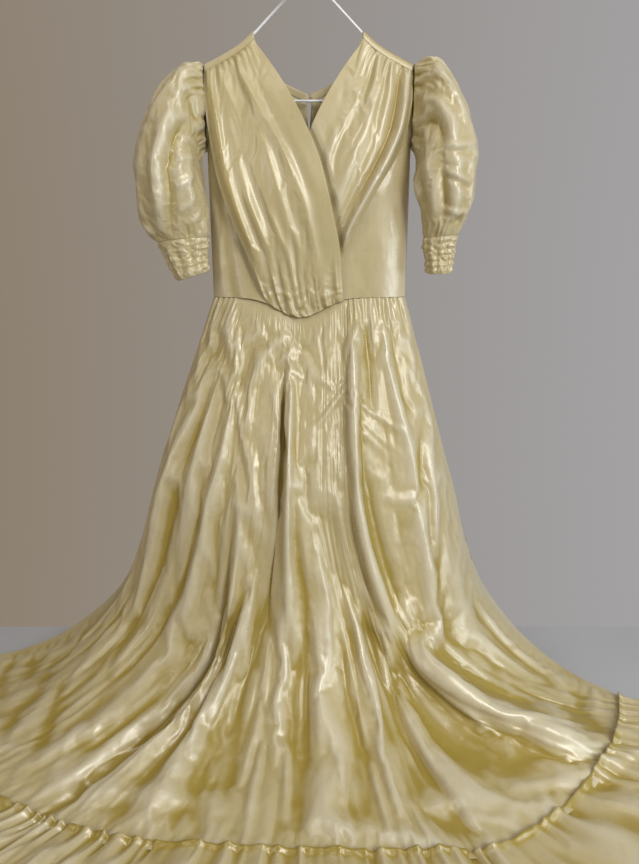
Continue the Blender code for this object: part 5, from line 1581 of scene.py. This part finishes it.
def trimmed(points):
    """Drops the spare outer columns and draws the new edges in from the seams."""
    kept = points[:, 1:-1].copy()
    kept[:, 0] += SEAM_DRAW * unit(kept[:, 1] - kept[:, 0])
    kept[:, -1] += SEAM_DRAW * unit(kept[:, -2] - kept[:, -1])
    return kept


def spaced_lines(first, final, columns):
    line = np.linspace(first, final, columns)
    return np.concatenate([[first - SPARE_COLUMN], line, [final + SPARE_COLUMN]])


def build_skirt_front():
    """One sheet for the five front gores, with their seams drawn in."""
    rows, columns = SKIRT_GRID
    line = np.linspace(0, len(FRONT_LINES) - 1, columns)
    down = np.linspace(0, 1, rows)
    points = front_points(line, down, np.zeros(len(down)))
    hold = held_edges(down, line / line[-1], *SKIRT_HOLD)
    points = settled(points, hold, SKIRT_CUT, SKIRT_BEND)
    points[:, :, 2] = np.maximum(points[:, :, 2], REST_HEIGHT)
    over, along = line[None, :], down[:, None]
    fine = crumpled(SKIRT_SMALL_CRUMPLE, points * LENGTHENED) + crumpled(SKIRT_FINE_CRUMPLE, points)
    fine += streaked(SKIRT_FINE_STREAKS, over, along) * come_in(along, SKIRT_FINE_FADE)
    fine += streaked(SKIRT_LOW_STREAKS, over, along) * come_in(along, SKIRT_LOW_FADE)
    points = points + grid_normals(points) * (fine * ease(down / 0.05)[:, None])[:, :, None]
    points[:, :, 2] = np.maximum(points[:, :, 2], REST_HEIGHT)
    panels = ("skirt_side_left", "skirt_front_left", "skirt_front_middle",
              "skirt_front_right", "skirt_side_right")
    cloth("skirt_front_cloth", points, satin, nodes=panels, thickness=0)


def back_base(line, down, beyond):
    table = np.array(BACK_LINES, float)
    at = smooth(np.arange(len(table)), table, line)
    waist_x, knee_x, shin_x, foot_x, seam_x, seam_y, hem_x, hem_y = at.T
    level = np.ones_like(waist_x)
    waist_y = LAYER / 2 + BACK_WAIST_DEPTH * (1 - (waist_x / SIDE_X) ** 2)
    waist = np.stack([waist_x, waist_y, WAIST_HEIGHT * level], axis=1)
    knee = np.stack([knee_x, BACK_KNEE_Y * level, KNEE_HEIGHT * level], axis=1)
    shin = np.stack([shin_x, BACK_SHIN_Y * level, SHIN_HEIGHT * level], axis=1)
    foot = np.stack([foot_x, np.zeros_like(foot_x), BACK_FOOT_HEIGHT * level], axis=1)
    seam = np.stack([seam_x, seam_y, REST_HEIGHT * level], axis=1)
    hem = np.stack([hem_x, hem_y, REST_HEIGHT * level], axis=1)
    knots = np.stack([waist, knee, shin, foot, seam])
    points = smooth([0, KNEE_AT, SHIN_AT, BACK_FOOT_AT, 1], knots, np.minimum(down, 1.0))
    outward = unit(hem - seam)
    return points + outward[None] * np.asarray(beyond)[:, None, None]


def back_points(line, down, beyond):
    points = back_base(line, down, beyond)
    normal = -grid_normals(points)
    last = len(BACK_LINES) - 1
    rise, _ = fold_relief(BACK_FOLDS, line, down)
    rise += crease_relief(points, BACK_CREASES, coarse_place(back_base, last, BACK_CREASE_GRID))
    over, along = line[None, :], down[:, None]
    rise += streaked(BACK_STREAKS, over, along) * come_in(along, BACK_STREAK_FADE)
    rise += streaked(BACK_NARROW_STREAKS, over, along) * come_in(along, BACK_STREAK_FADE)
    rise += crumpled(SKIRT_BACK_CRUMPLE, points * LENGTHENED) * come_in(along, BACK_CRUMPLE_FADE)
    calm = calm_sides(line, last, BACK_CALM_EDGE)
    edge = ease(0.1 + down / 0.04)[:, None]
    points = points + normal * (rise * calm[None, :] * edge)[:, :, None]
    for end, front_line in ((0, 0.0), (last, len(FRONT_LINES) - 1.0)):
        near = 1 - ease(np.abs(line - end) / BACK_MEETS_FRONT)
        pair = np.array([front_line, front_line]) + (0.0, 1e-4)
        side = front_points(pair, down, beyond, creased=False)[:, :1]
        side = side + (0.0, BACK_BEHIND_FRONT, 0.0)
        side[:, :, 2] -= BACK_BEHIND_FRONT * ease((down - 0.70) / 0.1)[:, None]
        points = points + (side - points) * near[None, :, None]
    points[:, :, 2] = np.maximum(points[:, :, 2], REST_HEIGHT)
    return points


def build_skirt_back(name, first, final):
    rows, columns = SKIRT_BACK_GRID
    line = spaced_lines(first, final, columns)
    down = np.linspace(0, 1, rows)
    points = back_points(line, down, np.zeros(len(down)))
    cloth(name + "_cloth", trimmed(points)[:, ::-1], satin_shade)


def build_ruffle(name, surface, table, row_table, waves, calm_edge, material, outward, rows, seed):
    """A gathered strip that carries on from the skirt's edge in standing waves."""
    last = len(table) - 1
    share = np.linspace(0, 1, waves * RUFFLE_COLUMNS_A_WAVE + 1)
    line = RUFFLE_END_GAP + share * (last - 2 * RUFFLE_END_GAP)
    reach = (column(row_table, "down") - 1) * SKIRT_LENGTH + column(row_table, "beyond")
    at = np.linspace(reach[0], reach[-1], rows)
    points = surface(line, 1 + np.minimum(at, 0) / SKIRT_LENGTH, np.maximum(at, 0))
    sway = share.copy()
    for drift in RUFFLE_DRIFTS:
        sway += drift.reach * np.sin(2 * math.pi * drift.turns * share)
    wave = gather_relief(waves, sway, 0.25)
    calm = calm_sides(line, last, calm_edge)
    swing = smooth(reach, column(row_table, "swing"), at)
    stand = smooth(reach, column(row_table, "stand"), at)
    over, along = waves * share[None, :], at[:, None]
    tightness = 0.45 + 0.55 * hump((along - RUFFLE_SEAM_AT) / RUFFLE_TIGHT_REACH)
    gathers = tightness * streaked(RUFFLE_GATHERS, over, along, seed)
    loose = streaked(RUFFLE_LOOSE_WAVES, over, along, seed) * ease(along / 0.05)
    lift = stand[:, None] + (swing[:, None] * wave[None, :] + gathers + loose) * calm[None, :]
    points[:, :, 2] = np.maximum(points[:, :, 2] + lift, REST_HEIGHT)
    cloth(name + "_cloth", points[:, ::outward], material)
    return points


def build_tube(name, route, radius, material, nodes, resolution):
    curve = bpy.data.curves.new(name, "CURVE")
    curve.dimensions = "3D"
    curve.bevel_depth = radius
    curve.bevel_resolution = resolution
    curve.use_fill_caps = True
    spline = curve.splines.new("POLY")
    spline.points.add(len(route) - 1)
    for point, (x, y, z) in zip(spline.points, route):
        point.co = (x, y, z - FLOOR_DROP, 1.0)
    drawn = placed(name + "_curve", curve)
    graph = bpy.context.evaluated_depsgraph_get()
    mesh = bpy.data.meshes.new_from_object(drawn.evaluated_get(graph))
    bpy.data.objects.remove(drawn)
    mesh.materials.clear()
    mesh.materials.append(material)
    mesh.shade_smooth()
    piece = placed(name, mesh)
    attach(piece, "root")
    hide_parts(*nodes)
    return piece


def build_hanger():
    """Coated wire, drawn from the same sizes as the part's hanger with finer bends."""
    x = np.linspace(YOKE_START_X, SHOULDER_TIP_X, HANGER_ARM_POINTS)
    coarse_x = np.linspace(YOKE_START_X, SHOULDER_TIP_X, SHOULDER_STATIONS)
    coarse_top = shoulder_height(coarse_x)
    below = WIRE_BELOW_SHOULDER * np.hypot(1.0, np.gradient(coarse_top, coarse_x))
    top = np.interp(x, coarse_x, coarse_top - below)
    arm = [(a, 0.0, b) for a, b in zip(x, top)]
    end_middle = BAR_HEIGHT + HANGER_END_RADIUS
    turn = HANGER_END_X - HANGER_END_RADIUS
    end = []
    for step in range(HANGER_END_POINTS + 1):
        angle = math.radians(HANGER_END_START_DEG - step * HANGER_END_SWEEP_DEG / HANGER_END_POINTS)
        end.append((turn + HANGER_END_RADIUS * math.cos(angle), 0.0,
                    end_middle + HANGER_END_RADIUS * math.sin(angle)))
    right = arm + end
    left = [(-a, y, z) for a, y, z in reversed(right)]
    route = []
    for step in range(HOOK_POINTS + 1):
        angle = math.radians(HOOK_START_DEG - step * HOOK_SWEEP_DEG / HOOK_POINTS)
        route.append((HOOK_RADIUS * math.cos(angle), 0.0,
                      FLOOR_DROP - HOOK_INSIDE_RADIUS + HOOK_RADIUS * math.sin(angle)))
    route.append((0.0, 0.0, APEX_HEIGHT + SHANK_FOOT))
    route += right + left
    for step in range(NECK_WRAP_POINTS + 1):
        turned = NECK_WRAP_TURNS * step / NECK_WRAP_POINTS
        angle = math.pi + 2 * math.pi * turned
        route.append((NECK_WRAP_RADIUS * math.cos(angle), NECK_WRAP_RADIUS * math.sin(angle),
                      APEX_HEIGHT - NECK_WRAP_DROP + NECK_WRAP_RADIUS * turned))
    build_tube("hanger_wire", route, WIRE_RADIUS, wire, ("hanger",), 6)


def build_neck_hook():
    middle = BACK_NECK_HEIGHT - BACK_NECK_BAND / 2
    front = float(back_y(np.array(0.0), np.array(middle))) - WALL / 2 - NECK_HOOK_AWAY
    reach = BAND_SLIT_SHARE * BACK_SLIT_HALF + NECK_HOOK_REACH
    stations = np.arange(len(NECK_HOOK_ROUTE))
    at = np.linspace(0, len(NECK_HOOK_ROUTE) - 1, NECK_HOOK_POINTS)
    bends = smooth(stations, np.array(NECK_HOOK_ROUTE, float), at)
    route = [(a * reach, front, middle + lift) for a, lift in bends]
    build_tube("neck_hook_metal", route, NECK_HOOK_WIRE, metal, ("neck_hook",), 3)


# Stage: pale floor, soft lights and a plain grey surround.
def make_floor():
    rows, columns = FLOOR_GRID
    x, y = np.meshgrid(np.linspace(*FLOOR_SIDES, columns), np.linspace(*FLOOR_ENDS, rows))
    swells = soft_noise(np.stack([x, y, 0 * x], axis=-1), FLOOR_SWELL_SIZE, FLOOR_SEED)
    height = -FLOOR_BELOW - FLOOR_SWELL * (1 + swells)
    points = np.stack([x, y, height], axis=-1) - (0, 0, FLOOR_DROP)
    mesh = grid_mesh("floor", points, np.arange(rows * columns).reshape(rows, columns))
    mesh.shade_smooth()
    mesh.materials.append(plain_material("floor_paint", FLOOR_COLOUR, FLOOR_WORN, 0.7, 0.0, 3.0))
    placed("floor", mesh)


def make_light(row):
    data = bpy.data.lights.new(row.name, "AREA")
    data.shape = "RECTANGLE"
    data.size = row.width
    data.size_y = row.height
    data.energy = row.power
    data.color = row.colour
    light = placed(row.name, data)
    light.location = row.place
    aim = Vector(row.target) - Vector(row.place)
    light.rotation_euler = aim.to_track_quat("-Z", "Y").to_euler()


def make_world():
    """Plain studio grey, warmer and darker on the left, cooler and paler on the right."""
    world = bpy.data.worlds.new("surround")
    world.use_nodes = True
    tree = world.node_tree
    place = tree.nodes.new("ShaderNodeTexCoord")
    split = tree.nodes.new("ShaderNodeSeparateXYZ")
    tree.links.new(place.outputs["Generated"], split.inputs["Vector"])
    share = tree.nodes.new("ShaderNodeMapRange")
    share.inputs["From Min"].default_value = -1.0
    tree.links.new(split.outputs["X"], share.inputs["Value"])
    tone = ramp(tree, share.outputs["Result"], WORLD_TONES)
    background = tree.nodes["Background"]
    tree.links.new(tone, background.inputs["Color"])
    background.inputs["Strength"].default_value = 1.0
    bpy.context.scene.world = world


back_end = len(BACK_LINES) - 1
front_place = coarse_place(front_smooth_points, len(FRONT_LINES) - 1, SKIRT_CREASE_GRID)

make_floor()
build_hanger()
build_fronts()
for side, word in ((-1, "left"), (1, "right")):
    build_side_front(side, "side_front_" + word)
    build_back(side, "bodice_back_" + word, "back_neck_band_" + word)
    build_yoke(side, "shoulder_yoke_" + word)
build_neck_hook()
left_edge = build_sleeve(-1, "sleeve_left", LEFT_SLEEVE, LEFT_SLEEVE_CREASES, seed=41)
right_edge = build_sleeve(1, "sleeve_right", RIGHT_SLEEVE, RIGHT_SLEEVE_CREASES, seed=143)
build_cuff(-1, "cuff_left", LEFT_CUFF, left_edge, shirring=5)
build_cuff(1, "cuff_right", RIGHT_CUFF, right_edge, shirring=6)
build_skirt_front()
build_skirt_back("skirt_back_left", 0, BACK_SEAM)
build_skirt_back("skirt_back_right", BACK_SEAM, back_end)
build_ruffle("ruffle_front", front_points, FRONT_LINES, FRONT_RUFFLE, FRONT_RUFFLE_WAVES,
             FRONT_RUFFLE_CALM, satin, 1, FRONT_RUFFLE_ROWS, seed=201)
build_ruffle("ruffle_back", back_points, BACK_LINES, BACK_RUFFLE, BACK_RUFFLE_WAVES,
             BACK_RUFFLE_CALM, satin_shade, -1, BACK_RUFFLE_ROWS, seed=211)

for row in LIGHTS:
    make_light(row)
make_world()
bpy.context.scene.view_settings.view_transform = "Standard"
